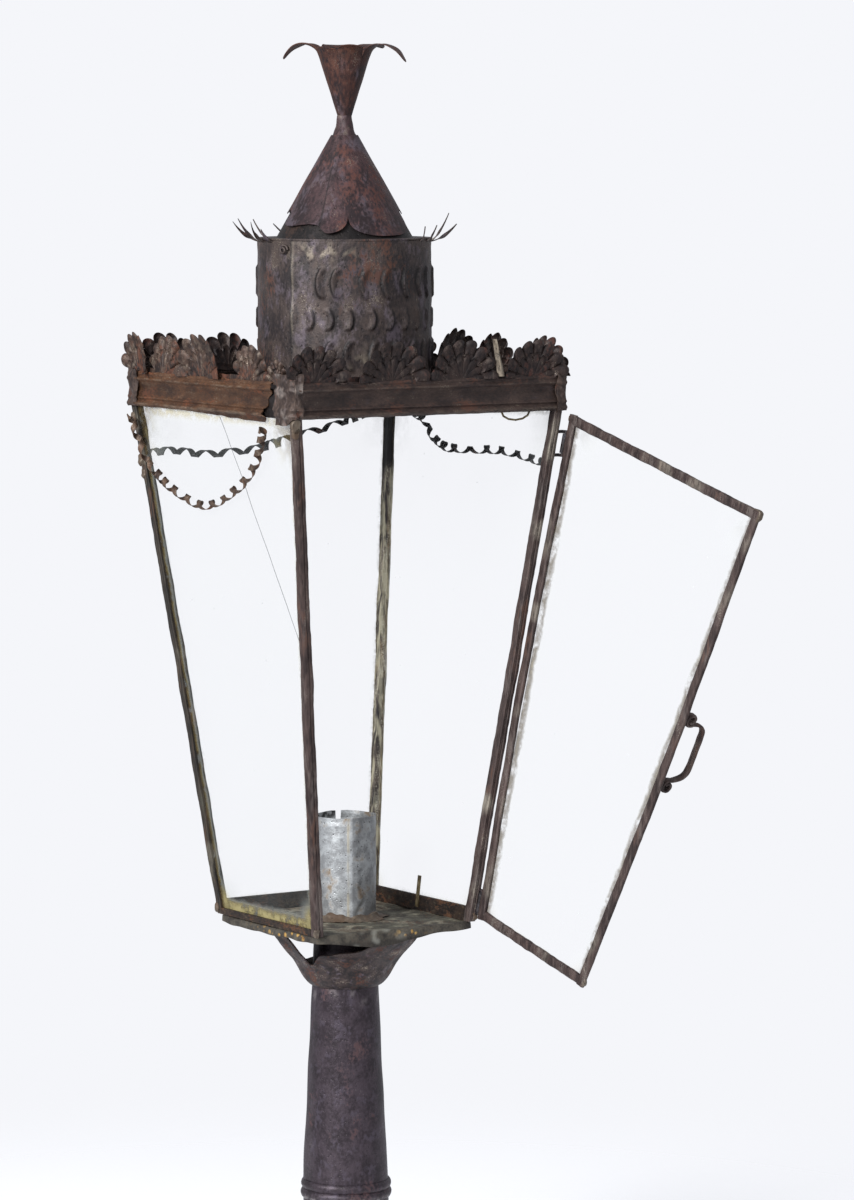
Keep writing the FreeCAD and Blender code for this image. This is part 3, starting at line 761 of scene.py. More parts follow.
def build_calyx():
    """Flared collar in five hammered petals with drooping, wavy edges."""
    petals = 5
    first_notch = math.radians(200.6)
    notch_floor = -24.0
    # The notch at the right of the front petal is hardly cut.
    barely_cut = math.radians(272.6)

    # Top edge of each petal: the front one droops open and the two at the back are broken off.
    heads = (-15.5, -1.6, -27.0, -28.5, -1.6)

    def within(angle):
        """0 at a notch, 1 in the middle of a petal, and which petal it is."""
        share = ((angle - first_notch) / TURN * petals) % petals
        return 1 - abs(2 * (share % 1.0) - 1), heads[int(share)]

    def place(u, v):
        angle = u * TURN
        petal, top = within(angle)
        closed = bump(angle % TURN, barely_cut, 0.30)
        top += (-4.0 - top) * closed
        floor = min(notch_floor + 15.0 * closed, top - 3)
        head = floor + (top - floor) * smooth(petal, 0.04, 0.50) ** 0.8
        head += 1.4 * noise.noise(around(30, angle, 0) * 90) - 0.9
        h = NECK + (head - NECK) * v
        share = (h - NECK) / (-0.8 - NECK)
        radius = 20.7 + (48.0 - 20.7) * (share ** 0.72)
        radius += 1.6 * share * math.sin(petals * 3 * angle + 1.3) * petal + 2.4 * bump(v, 1.0, 0.12)
        radius -= 2.4 * bump(share, 0.35, 0.22)
        point = around(radius, angle, h)
        return point + ruffle(point, 12, 0.9 * share)

    piece = bent_sheet("calyx_petals", 240, 40, place, 0.8, closed=True)
    return finished(piece, "lantern", "rusty_tin", FINISHES["calyx"], "calyx_collar")


# ---------------------------------------------------------------- base plate and cup
def build_base_plate():
    """Square plate with a turned-down rim that is dented and bows down below the door."""
    rings = 44
    rim_rows = 12
    rim_depth = 4.4

    def place(u, v):
        angle = u * TURN
        edge = 1 / (abs(math.cos(angle)) ** 14 + abs(math.sin(angle)) ** 14) ** (1 / 14)
        row = v * (rings + rim_rows)
        reach = min(row / rings, 1.0)
        down = max(row - rings, 0) / rim_rows
        radius = (PLATE_HALF - 0.9) * edge * reach + 0.9 * smooth(down, 0, 0.3)
        x, y = radius * math.cos(angle), radius * math.sin(angle)
        by_door = bump(x, -12, 26) * smooth(-y, PLATE_HALF - 16, PLATE_HALF - 4)
        sag = 2.4 * by_door * smooth(-y, PLATE_HALF - 5, PLATE_HALF - 1) - 2.2 * by_door * (1 - down)
        sag += 0.8 * bump(y, 10, 30) * smooth(-x, PLATE_HALF - 8, PLATE_HALF - 1)
        depth = rim_depth * down * (1 + 0.6 * by_door)
        clear = 1 - smooth(reach, 0.93, 0.97) * (1 - smooth(reach, 0.985, 1.0))
        point = at(x, y, -depth - sag * smooth(reach, 0.9, 1.0))
        shake = ruffle(point, 14, 1.4)
        shake.z = min(shake.z, 0) if down < 0.05 else shake.z * 0.6
        return point + shake * (0.3 + 0.7 * clear) * smooth(reach, 0.0, 0.4)

    piece = bent_sheet("base_plate_tray", 288, rings + rim_rows, lambda u, v: place(1 - u, v), 0.8, closed=True)
    in_edit_mode(piece, face_outwards)

    def waxed(p):
        x, y, z = p.x / MM, p.y / MM, (p.z - BASE) / MM
        on_left = smooth(-x, 54, 56.5) * bump(y, -24, 24)
        on_door = smooth(-y, 54, 56.5) * bump(x, 10, 7)
        return (on_left + on_door) * smooth(z, -5.0, -3.4) * (1 - smooth(z, -0.9, -0.3)) * 1.4

    paint(piece, "wax", waxed)
    paint(piece, "wear_and_highlight", lambda p: 0.5 * smooth(-p.y / MM, 53, 56) * smooth(noise.noise(p * 160), 0.1, 0.5)
          * bump(p.x / MM, -12, 16))
    # Darker towards the lowest edge of the rim.
    paint(piece, "soot_and_shade", lambda p: 0.55 * smooth((BASE - p.z) / MM, 4.0, 7.0))
    return finished(piece, "lantern", "rusty_tin", FINISHES["base"], "base_plate")


def build_cup():
    """Candle cup: bright tin with an uneven lap, a slit at the back and a rolled lip."""
    slit = math.radians(72)
    slit_half = 1.7 / CUP_RADIUS
    seam = math.radians(243)

    def head(angle):
        away = abs((angle - slit + math.pi) % TURN - math.pi)
        drop = 7.0 * (1 - smooth(away, slit_half, slit_half + 0.006))
        return CUP_HEAD - drop + 0.35 * noise.noise(around(20, angle, 0) * 120)

    def radius(angle, h):
        lip = 0.5 * bump(h, CUP_HEAD - 4.6, 0.7)
        return CUP_RADIUS - 0.5 + lip + 0.25 * math.sin(2 * angle + 0.7)

    def place(u, v):
        angle = seam + u * (TURN + 0.30)
        h = head(angle) * v
        edge = 0.05 * noise.noise(Vector((0, 7, h / 9)))
        over = 0.9 * (1 - smooth(u + edge, 0.04, 0.07))
        point = around(radius(angle, h) + over, angle, h)
        return point + ruffle(point, 16, 0.35)

    piece = bent_sheet("candle_cup", 420, 48, place, 0.6)

    def freckled(p):
        h = (p.z - BASE) / MM
        inner = 1 - smooth(math.hypot(p.x, p.y) / MM, CUP_RADIUS - 1.25, CUP_RADIUS - 0.95)
        return inner * smooth(noise.noise(p * 300), -0.25, 0.2) * smooth(h, 10, 40) * 0.9

    def on_lap(p):
        angle = (math.atan2(p.y, p.x) - seam + 0.05) % TURN
        return 0.75 * bump(angle, 0.03, 0.05) * smooth(noise.noise(p * 110), -0.5, 0.1)

    # Painted shade: darker over the part of the cup past its lap, the side turned from the light, with a little
    # mottling.
    def painted_shade_past_lap(p):
        angle = (math.atan2(p.y, p.x) - seam) % TURN
        return 0.40 * smooth(angle, 0.08, 0.16) * (1 - smooth(angle, 2.2, 2.8)) + 0.14 * noise.noise(p * 200)

    # Dark freckles inside the cup are stains; the darker stretch past the lap is painted shade.
    paint(piece, "soot_and_shade", lambda p: max(freckled(p), painted_shade_past_lap(p)))
    paint(piece, "wear_and_highlight", on_lap)
    return finished(piece, "lantern", "socket_tin", FINISHES["cup"], "candle_socket")


def build_cup_solder():
    """Lumpy fillet that holds the cup to the base plate."""
    steps = 10

    def place(u, v):
        angle = u * TURN
        centre = around(1, angle, 0)
        spread = 5.2 + 3.6 * noise.noise(centre * 2600) + 1.6 * noise.noise(centre * 6000)
        rise = 3.6 + 2.4 * noise.noise(centre * 3100)
        share = v * steps / (steps - 2)
        if share <= 1:
            swing = share * TURN / 4
            radius = CUP_RADIUS + spread * (1 - math.sin(swing)) + 0.3
            h = 0.25 + rise * (1 - math.cos(swing))
        else:
            back = (share - 1) * (steps - 2) / 2
            radius = CUP_RADIUS - 0.5 + (spread + 0.8) * max(back - 0.5, 0) * 2
            h = 0.25 + rise * (1 - min(back * 2, 1))
        point = around(radius, angle, h)
        return point + ruffle(point, 3.0, 0.4)

    piece = bent_sheet("cup_solder", 160, steps * 2, lambda u, v: place(u, 1 - v), 0, closed=True)
    in_edit_mode(piece, face_outwards)
    return finished(piece, "lantern", "solder", FINISHES["dull_solder"], "socket_solder")


# ---------------------------------------------------------------- posts
POST_SECTION = [
    (-2.8, -2.8), (0.6, -2.8), (2.3, -2.8), (2.8, -2.3), (2.8, -0.9), (2.2, -0.3), (2.8, 0.4), (2.8, 1.5),
    (2.4, 2.4), (1.5, 2.8), (0.4, 2.8), (-0.3, 2.2), (-0.9, 2.8), (-2.3, 2.8), (-2.8, 2.3), (-2.8, 0.6)]
POST_FINISHES = {"back": "pale_post", "left": "green_post", "front": "post", "hinge": "post"}


def build_posts():
    """Folded corner posts, each a little wavy, with solder left on them."""
    runs = 110
    for turn, corner in enumerate(("back", "left", "front", "hinge")):
        turned = Matrix.Rotation(turn * TURN / 4, 4, "Z")
        stations = []
        for index in range(runs + 1):
            h = GLAZED * index / runs
            sway = noise.noise_vector(Vector((turn * 9.0, 0.3, h / 34))) * 0.55 * MM
            fade = smooth(h, 0, 12) * (1 - smooth(h, GLAZED - 12, GLAZED))
            centre = turned @ (at(half(h), half(h), h) + Vector((sway.x, sway.y, 0)) * fade)
            swell = 1 + 0.10 * noise.noise(Vector((h / 16, turn * 5.0, 2.0))) * fade
            stations.append((
                centre, turned.to_3x3() @ Vector((swell, 0, 0)), turned.to_3x3() @ Vector((0, swell, 0))))
        piece = drawn_bar("post_skin_" + corner, POST_SECTION, stations, 40)
        roughen(piece, 4.0, 0.22)
        if corner == "back":
            # Darker, almost black, above about 265 mm, with dark streaks up and down the post.
            paint(piece, "soot_and_shade", lambda p: 0.97 * smooth((p.z - BASE) / MM + 10 * noise.noise(p * 120), 264, 270)
                  + 0.75 * smooth(noise.noise(Vector((p.x * 260, p.y * 260, p.z * 30))), 0.22, 0.40))
        elif corner == "hinge":
            paint(piece, "wear_and_highlight", lambda p: 0.8 * smooth(noise.noise(p * 45), 0.15, 0.35))
        elif corner == "left":
            paint(piece, "wear_and_highlight", lambda p: 0.8 * smooth(noise.noise(p * 60), 0.28, 0.45))
        finished(piece, "lantern", "post_tin", FINISHES[POST_FINISHES[corner]], "post_" + corner)
    dabs = []
    for x, y, h, size in ((-1, -1, 305.5, 3.2), (-1, -1, 301, 2.4), (-1, 1, 302, 2.6), (1, -1, 3.5, 2.2),
                          (-1, 1, 276, 2.8), (-1, 1, 268, 2.2), (-1, -1, 2.5, 2.0), (-1, 1, 3.5, 2.2)):
        centre = at(x * (half(h) + 1.6), y * (half(h) + 1.6), h)
        dab = lump("post_dab", centre, (size, size, size * 1.5), 3.0, 0.9)
        # Flat where the shut door comes against it.
        for vertex in dab.data.vertices:
            vertex.co.y = max(vertex.co.y, -(half((vertex.co.z - BASE) / MM) + 3.1) * MM)
        dabs.append(dab)
    piece = joined("post_solder_dabs", dabs)
    finished(piece, "lantern", "solder", FINISHES["dull_solder"])


# ---------------------------------------------------------------- cornice
def mouldings(rise):
    """How far the band stands out at a height above its lower edge."""
    return 2.3 * bump(rise, 1.7, 1.4) + 1.3 * bump(rise, 5.4, 0.9) - 1.1 * bump(rise, 10.5, 3.0) + (
        1.7 * bump(rise, 16.6, 1.2) + 0.7 * bump(rise, 19.6, 0.9))


BAND_FOOT = GLAZED
BAND_RISE = 21.0
BAND_REACH = BAND_FACE - 2.6


def build_cornice():
    """Four pressed bands.  The left one droops and is torn short at its front end."""
    for turn, side in enumerate(SIDES):
        def place(u, v):
            along = -BAND_REACH + 2 * BAND_REACH * u
            foot = 0.0
            if side == "left":
                end = 62.0 + 9.0 * smooth(v, 0.25, 0.95) + 1.6 * math.sin(v * 19)
                along = -BAND_REACH + (BAND_REACH + end) * u
                foot = -2.6 * smooth(along, -40, 60)
            rise = foot + (BAND_RISE - foot) * v
            wave = 0.9 * noise.noise(Vector((along / 26, turn * 3.0, rise / 30)))
            wave += 0.35 * noise.noise(Vector((along / 5, turn * 3.0, rise / 5)))
            edge = 0.5 * noise.noise(Vector((along / 9, turn * 7.0, 0))) * (bump(v, 0, 0.1) + bump(v, 1, 0.1))
            return side_point(side, along, BAND_FACE - 0.2 + mouldings(rise) + wave * 0.55, BAND_FOOT + rise + edge)
        piece = bent_sheet("cornice_band_" + side, 200, 48, place, 0.5)


        def ridges(p):
            return mouldings((p.z - BASE) / MM - BAND_FOOT + noise.noise(p * 70) * 0.8)

        # Painted shade in the hollows of the mouldings and a darker line along the band's lower edge. Painted
        # highlights on the ridges, stronger on the left band, which faces the light.
        paint(piece, "soot_and_shade", lambda p: 0.40 * (1 - smooth(ridges(p), -0.7, 0.35)) * smooth(noise.noise(p * 90), -0.6, 0.2)
              + 0.4 * (1 - smooth((p.z - BASE) / MM - BAND_FOOT, -0.4, 0.9)))
        paint(piece, "wear_and_highlight", lambda p: (0.30 if side == "left" else 0.12) * smooth(ridges(p), 0.9, 1.9) * smooth(noise.noise(p * 150), -0.4, 0.3))
        # The left band, which faces the light, takes the lighter copy. Its lighter tone is partly painted light.
        look = "cornice_left" if side == "left" else "cornice"
        finished(piece, "lantern", "cornice_tin", FINISHES[look], "cornice_" + side)


# Palmettes of each side: place along it, width, height, lean outwards, tilt in its plane.
PALMETTES = {
    "left": (
        (-84, 15, 25, 2.0, -0.25), (-55, 21, 24, -5.0, -0.30), (-10, 25, 27, 1.5, 0.00),
        (43, 20, 22, -3.0, -0.35), (74, 11, 14, -2.0, -0.20)),
    "door": (
        (-80, 23, 23, 1.0, -0.30), (-27, 25, 24, 1.0, 0.05), (22, 24, 24, 0.5, -0.05), (73, 23, 23, 1.0, 0.08)),
    "right": (
        (-71, 24, 24, 2.0, 0.12), (-24, 23, 24, -3.0, -0.10), (24, 24, 25, 1.5, 0.05), (70, 22, 23, 3.0, -0.12)),
    "back": (
        (-70, 23, 24, -2.0, 0.10), (-23, 24, 25, 2.0, -0.06), (25, 24, 23, 1.0, 0.08), (71, 23, 24, -3.0, 0.02)),
}


def build_palmette(side, index, along_0, reach, height, lean, tilt):
    """One pressed fan: fluted, with two rows of scallops and round beads at its rim."""
    lobes = 8
    foot = BAND_FOOT + BAND_RISE - 1.2
    torn = 5.0 * (index * 7 + SIDES.index(side) * 3)

    def place(u, v):
        angle = math.pi * (1.03 - 1.06 * u) + tilt
        ripple = abs(math.sin(math.pi * lobes * u)) ** 0.6
        rim = 0.86 + 0.14 * ripple + 0.05 * noise.noise(Vector((u * 5, torn, 0)))
        across = reach * v * rim * math.cos(angle)
        rise = max(height * v * rim * math.sin(angle), 0.4 * v)
        inner = 0.60 + 0.05 * ripple
        relief = 1.3 * v * ripple + 1.1 * smooth(v, inner, inner + 0.05) * ripple
        relief += 0.9 * bump(v, 0.9, 0.07) * ripple - 0.9 * bump(v, inner - 0.03, 0.03)
        curl = lean * v * v + 2.2 * noise.noise(Vector((u * 2.2, torn + 2, v))) * v * v
        return side_point(side, along_0 + across, BAND_FACE - 0.6 + relief + curl, foot + rise)

    piece = bent_sheet("palmette", 96, 22, place, 0.4)
    paint(piece, "soot_and_shade", lambda p: 0.0)
    return piece


def build_crests():
    for side in SIDES:
        palmettes = [
            build_palmette(side, index, *numbers) for index, numbers in enumerate(PALMETTES[side])]

        def strip(u, v):
            along = -BAND_REACH + 2 * BAND_REACH * u
            rise = BAND_RISE - 1.5 + 4.0 * v + 0.8 * noise.noise(Vector((along / 7, SIDES.index(side), 4)))
            return side_point(side, along, BAND_FACE - 0.9 + 0.6 * noise.noise(Vector((along / 12, 3, v))), BAND_FOOT + rise)

        palmettes.append(bent_sheet("strip", 120, 6, strip, 0.4))
        if side == "door":
            def folded(u, v):
                along = 45.5 - 3.5 * v + 5.0 * u * (1 - 0.5 * v)
                rise = BAND_RISE + 0.5 + 22 * v
                out = 1.6 + 2.4 * math.sin(math.pi * u) + 0.6 * noise.noise(Vector((u * 3, v * 4, 8)))
                return side_point(side, along, BAND_FACE + out, BAND_FOOT + rise)
            fold = bent_sheet("fold", 16, 26, folded, 0.4)
            paint(fold, "wear_and_highlight", lambda p: 0.7)
            palmettes.append(fold)
        piece = joined("crest_palmettes_" + side, palmettes)
        # The left side, which faces the light, takes the lighter copy (painted light); the other sides take the darker
        # copy (painted shade).
        look = "crest" if side == "left" else "shaded_side_crest"
        finished(piece, "lantern", "cornice_tin", FINISHES[look], "crest_" + side)


def build_gussets():
    """Folded sheet that wraps each corner of the cornice, crumpled and run over with solder."""
    for turn, corner in enumerate(("back", "left", "front", "hinge")):
        turned = Matrix.Rotation(turn * TURN / 4, 4, "Z")
        front = corner == "front"
        leg = {"front": 6.5, "left": 13.0, "back": 12.0, "hinge": 8.0}[corner]

        def place(u, v):
            run = (u - 0.5) * 2
            reach = leg if run > 0 or not front else 20.5
            reach *= 1 + 0.12 * noise.noise(Vector((turn * 4.0, v * 5, 0)))
            corner_out = BAND_FACE + 1.5
            bend = 1.2
            x = corner_out - reach * max(run, 0) - bend * bump(run, 0, 0.12)
            y = corner_out + reach * min(run, 0) - bend * bump(run, 0, 0.12)
            drop = 3.5 * (1 - smooth(run, -0.35, 0.0)) if front else 0.0
            rise = -drop + (BAND_RISE + 1.0 + (4.0 + drop if front else 0.5)) * v
            rise += 1.2 * noise.noise(Vector((run * 2, turn * 3.0, v))) * (v > 0.9)
            fold = 0.9 * math.sin(v * 9 + run * 4 + turn) * abs(run) + 0.5 * mouldings(rise)
            point = turned @ at(x + fold * (run <= 0), y + fold * (run > 0), BAND_FOOT + rise)
            return point + ruffle(point, 5, 0.8)

        piece = bent_sheet("corner_fold_" + corner, 40, 44, place, 0.5)
        if front:
            paint(piece, "wear_and_highlight", lambda p: 0.6 * smooth(noise.noise(p * 130), 0.15, 0.45))
        finished(piece, "lantern", "solder", FINISHES["gusset"], "gusset_" + corner)


# ---------------------------------------------------------------- chimney
# Rows of crescents: height above the drum's foot, half height, depth, which way they bulge, first and pitch.
CRESCENT_ROWS = (
    {"rise": 59.0, "half": 9.6, "depth": 1.5, "way": 1, "first": 220.6, "pitch": (10, 19, 15, 16, 14)},
    {"rise": 37.5, "half": 6.4, "depth": 1.3, "way": -1, "first": 216.6, "pitch": (13, 13, 15, 13, 12)},
    {"rise": 16.0, "half": 9.6, "depth": 1.5, "way": 1, "first": 226.0, "pitch": (13, 17, 15, 15, 15)},
)


# The stretch beside the seam that has no crescents, in degrees.
PLAIN_PANEL = (148, 211)


def crescent_places():
    """Every crescent as (angle, height above the drum's foot, half height, depth, way)."""
    places = []
    for row in CRESCENT_ROWS:
        angle = row["first"]
        index = 0
        while angle < row["first"] + 344:
            if not PLAIN_PANEL[0] < angle % 360 < PLAIN_PANEL[1]:
                places.append((math.radians(angle), row["rise"], row["half"], row["depth"], row["way"]))
            angle += row["pitch"][index % len(row["pitch"])]
            index += 1
    return places


CRESCENTS = crescent_places()


def pressed(angle, rise):
    """Relief of the crescents at a point of the drum, and the painted shade along their steep edges."""
    relief = slit = 0.0
    for centre, height, half_height, depth, way in CRESCENTS:
        if abs(rise - height) > half_height * 1.6:
            continue
        across = ((angle - centre + math.pi) % TURN - math.pi) * DRUM_RADIUS * way
        if abs(across) > 11:
            continue
        up = (rise - height) / half_height
        arc = across + 3.4 * (1 - up * up) * half_height / 9.6 - 1.5
        ends = 1 - smooth(abs(up), 0.78, 1.06)
        fall = smooth(arc, -0.7, 0.5) * (1 - smooth(arc, 0.9, 5.0))
        relief += depth * fall * ends
        slit = max(slit, bump(arc, -0.5, 0.9) * ends)
    return relief, slit


def build_drum():
    """Chimney drum with pressed crescents and a gaping seam."""
    seam = math.radians(201.6)
    height = DRUM_HEAD - DRUM_FOOT

    def place(u, v):
        angle = seam + u * (TURN + 0.09)
        rise = height * v + 0.5 * noise.noise(around(50, angle, 0) * 40) * (v > 0.98)
        relief, slit = pressed(angle, rise)
        gap = 0.6 + 1.2 * bump(rise, 40, 7) + 0.8 * bump(rise, 66, 6) + 0.5 * bump(rise, 8, 6)
        over = (0.9 + gap * bump(u, 0, 0.012)) * (1 - smooth(u, 0.0, 0.03))
        point = around(DRUM_RADIUS - 0.4 + relief * 0.9 + over, angle, DRUM_FOOT + rise)
        return point + ruffle(point, 22, 0.8) + ruffle(point, 6, 0.2)

    piece = bent_sheet("drum_skin", 470, 92, place, 0.6)

    # Painted shade along the crescents' steep edges, and a darker line along the seam.
    def painted_shade_and_dark_seam(p):
        angle = math.atan2(p.y, p.x) % TURN
        rise = (p.z - BASE) / MM - DRUM_FOOT
        relief, slit = pressed(angle, rise)
        by_seam = bump((angle - seam + math.pi) % TURN - math.pi, -0.010, 0.022)
        return max(slit * 0.92, by_seam * 0.9)

    def brightened(p):
        angle = math.atan2(p.y, p.x) % TURN
        rise = (p.z - BASE) / MM - DRUM_FOOT
        edge = bump((angle - seam + math.pi) % TURN - math.pi, 0.012, 0.014) * smooth(noise.noise(p * 60), -0.3, 0.2)
        rim = bump(rise, height - 7, 5) * smooth(noise.noise(p * 220), 0.05, 0.35) * bump(angle, math.radians(222), 0.35)
        foot = bump(rise, 9, 9) * smooth(noise.noise(p * 150), 0.0, 0.4) * bump(angle, math.radians(232), 0.5)
        return edge * 0.45 + rim * 0.7 + foot * 0.8

    paint(piece, "soot_and_shade", painted_shade_and_dark_seam)
    paint(piece, "wear_and_highlight", brightened)
    finished(piece, "lantern", "rusty_tin", FINISHES["drum"], "chimney_drum")

    angle = math.radians(195)
    rings = []
    for index in range(15):
        t = index / 14
        turn_angle = t * 2.6 * math.pi
        size = 3.0 - 1.9 * t
        tangent = size * math.cos(turn_angle)
        rings.append(
            around(DRUM_RADIUS + 0.6 + 1.2 * t, angle + tangent / DRUM_RADIUS, 404.5 + size * math.sin(turn_angle)))
    curl = rod("rivet_curl", rings, 0.75)
    finished(curl, "lantern", "rusty_tin", FINISHES["drum"], "drum_rivet")


def build_spikes():
    """Bent pointed tabs that stand out from the drum's rim: direction, length out, rise, bend."""
    tabs = (
        (150, 15.5, 10.5, 0.10), (160, 14, 12.5, 0.05), (169, 11, 10.5, 0.12), (180, 7, 6.5, 0.0),
        (30, 12, 10, -0.1), (52, 10, 7, 0.1), (74, 11, 11, -0.05), (96, 12, 8, 0.08), (118, 12, 11, 0.0),
        (298, 5, 8, -0.05), (307, 7, 8.5, 0.0), (316, 11, 15.5, 0.08), (326, 15.5, 9, -0.06))
    blades = []
    for degrees, reach, rise, bend in tabs:
        angle = math.radians(degrees)

        def place(u, v):
            width = 4.6 * (1 - v) ** 0.9 + 0.25
            out = DRUM_RADIUS - 0.6 + reach * v
            h = DRUM_HEAD - 1.6 + (rise + 1.6) * (0.3 * v + 0.7 * v * v)
            twist = 1.1 * smooth(v, 0.25, 0.6)
            across = (u - 0.5) * width
            turn_angle = angle + bend * v * v + across * math.cos(twist) / DRUM_RADIUS
            return around(out, turn_angle, h + across * math.sin(twist))

        blades.append(bent_sheet("blade", 6, 22, place, 0.6))
    piece = joined("rim_spikes", blades)
    finished(piece, "lantern", "rusty_tin", FINISHES["drum"], "chimney_spikes")


def cone_radius(h):
    return CAP_FOOT_RADIUS + 0.7 - (h - CAP_FOOT) * 0.565


def build_cone_cap():
    """Outer cone with five round lobes: one is bent and torn, and two are broken away at the sides."""
    lobes = 5
    first_gap = math.radians(240.6)
    torn_edge = [Vector((rise, 0, 0)) for rise in (1.0, 3.0, 4.8, 6.2, 7.0, 6.0, 1.0, 0.0, 0.0)]
    seam = math.radians(216)

    def lobe_of(angle):
        share = ((angle - first_gap) / TURN * lobes) % 1.0
        return share, math.floor((((angle - first_gap) % TURN) / TURN) * lobes)

    def place(u, v):
        angle = seam + u * (TURN + 0.10)
        share, index = lobe_of(angle)
        arch = math.sqrt(max(1 - (2 * share - 1) ** 2, 0.0))
        depth = 15.0 + 1.5 * noise.noise(Vector((index * 3.0, 1, 0)))
        foot = CAP_FOOT - 1.6 + depth * (1 - arch ** 0.55)
        lift = 0.3
        if index == 4:
            foot += through(torn_edge, share).x
            lift = 2.2
        elif index in (1, 3):
            foot = CAP_FOOT + depth - 2.5 + 1.2 * math.sin(share * 23)
            lift = 0.0
        h = foot + (CAP_HEAD + 3.0 - foot) * v
        near = 1 - smooth(h, CAP_FOOT, CAP_FOOT + 15)
        radius = cone_radius(h) + near * near * lift * (1.6 * abs(share - 0.5) + 0.3)
        radius += 0.8 * (1 - smooth(u, 0.0, 0.05))
        radius = max(radius, 5.0)
        point = around(radius, angle, h)
        return point + ruffle(point, 20, 0.5) * (1 - 0.8 * v)

    piece = bent_sheet("cap_cone", 400, 60, place, 0.5)
    # Painted shade on the cone's inner side, and a darker line along the seam.
    paint(piece, "soot_and_shade", lambda p: 0.8 * bump(((math.atan2(p.y, p.x) - seam + math.pi) % TURN) - math.pi, -0.02, 0.02)
          + 0.55 * (math.hypot(p.x, p.y) / MM < cone_radius((p.z - BASE) / MM) - 1.0))
    finished(piece, "lantern", "rusty_tin", FINISHES["cap"], "cone_cap")

    rings = [(radius, CAP_HEAD - 2 + rise) for radius, rise in (
        (9.4, 0.0), (8.8, 1.4), (7.2, 4.6), (5.6, 8.0), (5.0, 11.0), (4.7, 17.6), (3.4, 17.6), (3.4, 0.0))]
    collar = spun_tube("apex_solder", rings, 48)
    apply_modifier(collar, "SUBSURF", levels=1, render_levels=1)
    roughen(collar, 5, 0.9)
    paint(collar, "wear_and_highlight", lambda p: 0.25 * smooth(noise.noise(p * 220), 0.1, 0.4))
    finished(collar, "lantern", "solder", FINISHES["cap"], "apex_collar")


def build_tulip():
    """Cone of sheet whose six petals curl out and down to points."""
    petals = 6
    first_notch = math.radians(222.6)
    # How much of each petal is left; the two at the front are broken short.
    kept = (0.40, 1.0, 0.75, 0.85, 1.0, 0.28)
    throat = TULIP_FOOT + 35.0
    lip_run = 27.0
    cone_run = 36.5
    curl = [Vector((radius, rise, 0)) for radius, rise in (
        (15.4, 0.0), (17.6, 4.4), (22.0, 7.1), (28.0, 7.4), (33.6, 4.6), (37.6, -1.0))]

    def place(u, v):
        run = v * (cone_run + lip_run)
        share = u * petals
        index = math.floor(min(share, petals - 1e-6))
        within = (share - index) * 2 - 1
        beyond = max(run - cone_run + 6, 0) / (lip_run + 6)
        width = max(1 - beyond ** (1.25 / kept[index]), 0.0) ** 0.62
        angle = first_notch + (index + 0.5 + 0.5 * within * width) * TURN / petals
        if run < cone_run:
            radius, h = 4.4 + 11.0 * run / cone_run, TULIP_FOOT + 35.0 * run / cone_run
        else:
            past = (run - cone_run) / lip_run * kept[index]
            radius, rise, _ = through(curl, past)
            h = throat + rise - (0.0, 1.6, 0.4, 1.0, 0.0, 1.2)[index] * past ** 2
        cup = 2.2 * math.sin(math.pi * min(beyond, 1.0)) * (within * width) ** 2
        point = around(radius - 0.3, angle, h + cup * 0.8)
        return point + ruffle(point, 9, 0.8 * beyond + 0.15)

    pieces = []
    for index in range(petals):
        def one(u, v):
            return place((index + u * 0.999999) / petals, v)
        pieces.append(bent_sheet("petal", 20, 64, one, 0))
    piece = joined("tulip_petals", pieces)
    in_edit_mode(piece, merge_doubles)
    apply_modifier(piece, "SOLIDIFY", thickness=0.5 * MM, offset=-1.0)
    shade(piece)
    # Darker round the throat.
    paint(piece, "soot_and_shade", lambda p: 0.75 * smooth((p.z - BASE) / MM, throat - 3, throat + 3) * (
        1 - smooth(math.hypot(p.x, p.y) / MM, 12.0, 18)))
    finished(piece, "lantern", "rusty_tin", FINISHES["tulip"], "tulip_finial")


# ---------------------------------------------------------------- garlands
# Places along a side and heights that each garland hangs through.
GARLANDS = {
    "right": ((72, 300), (60.7, 296), (46, 285), (31.4, 280.5), (5, 280), (-22.8, 281.5), (-50, 279.5), (-71.5, 277),
              (-79, 277)),
    "back": ((-84, 301), (-72, 297), (-56.6, 293), (-20, 285), (5, 279.5), (40, 277.5), (65.7, 280.5), (84, 279)),
    "left": ((-88, 303), (-84, 292), (-74, 276), (-62, 268), (-52, 262.5), (-34, 256.5), (-15, 253), (4, 256),
             (20, 262), (38, 271), (52, 282), (60, 294), (64, 302)),
}


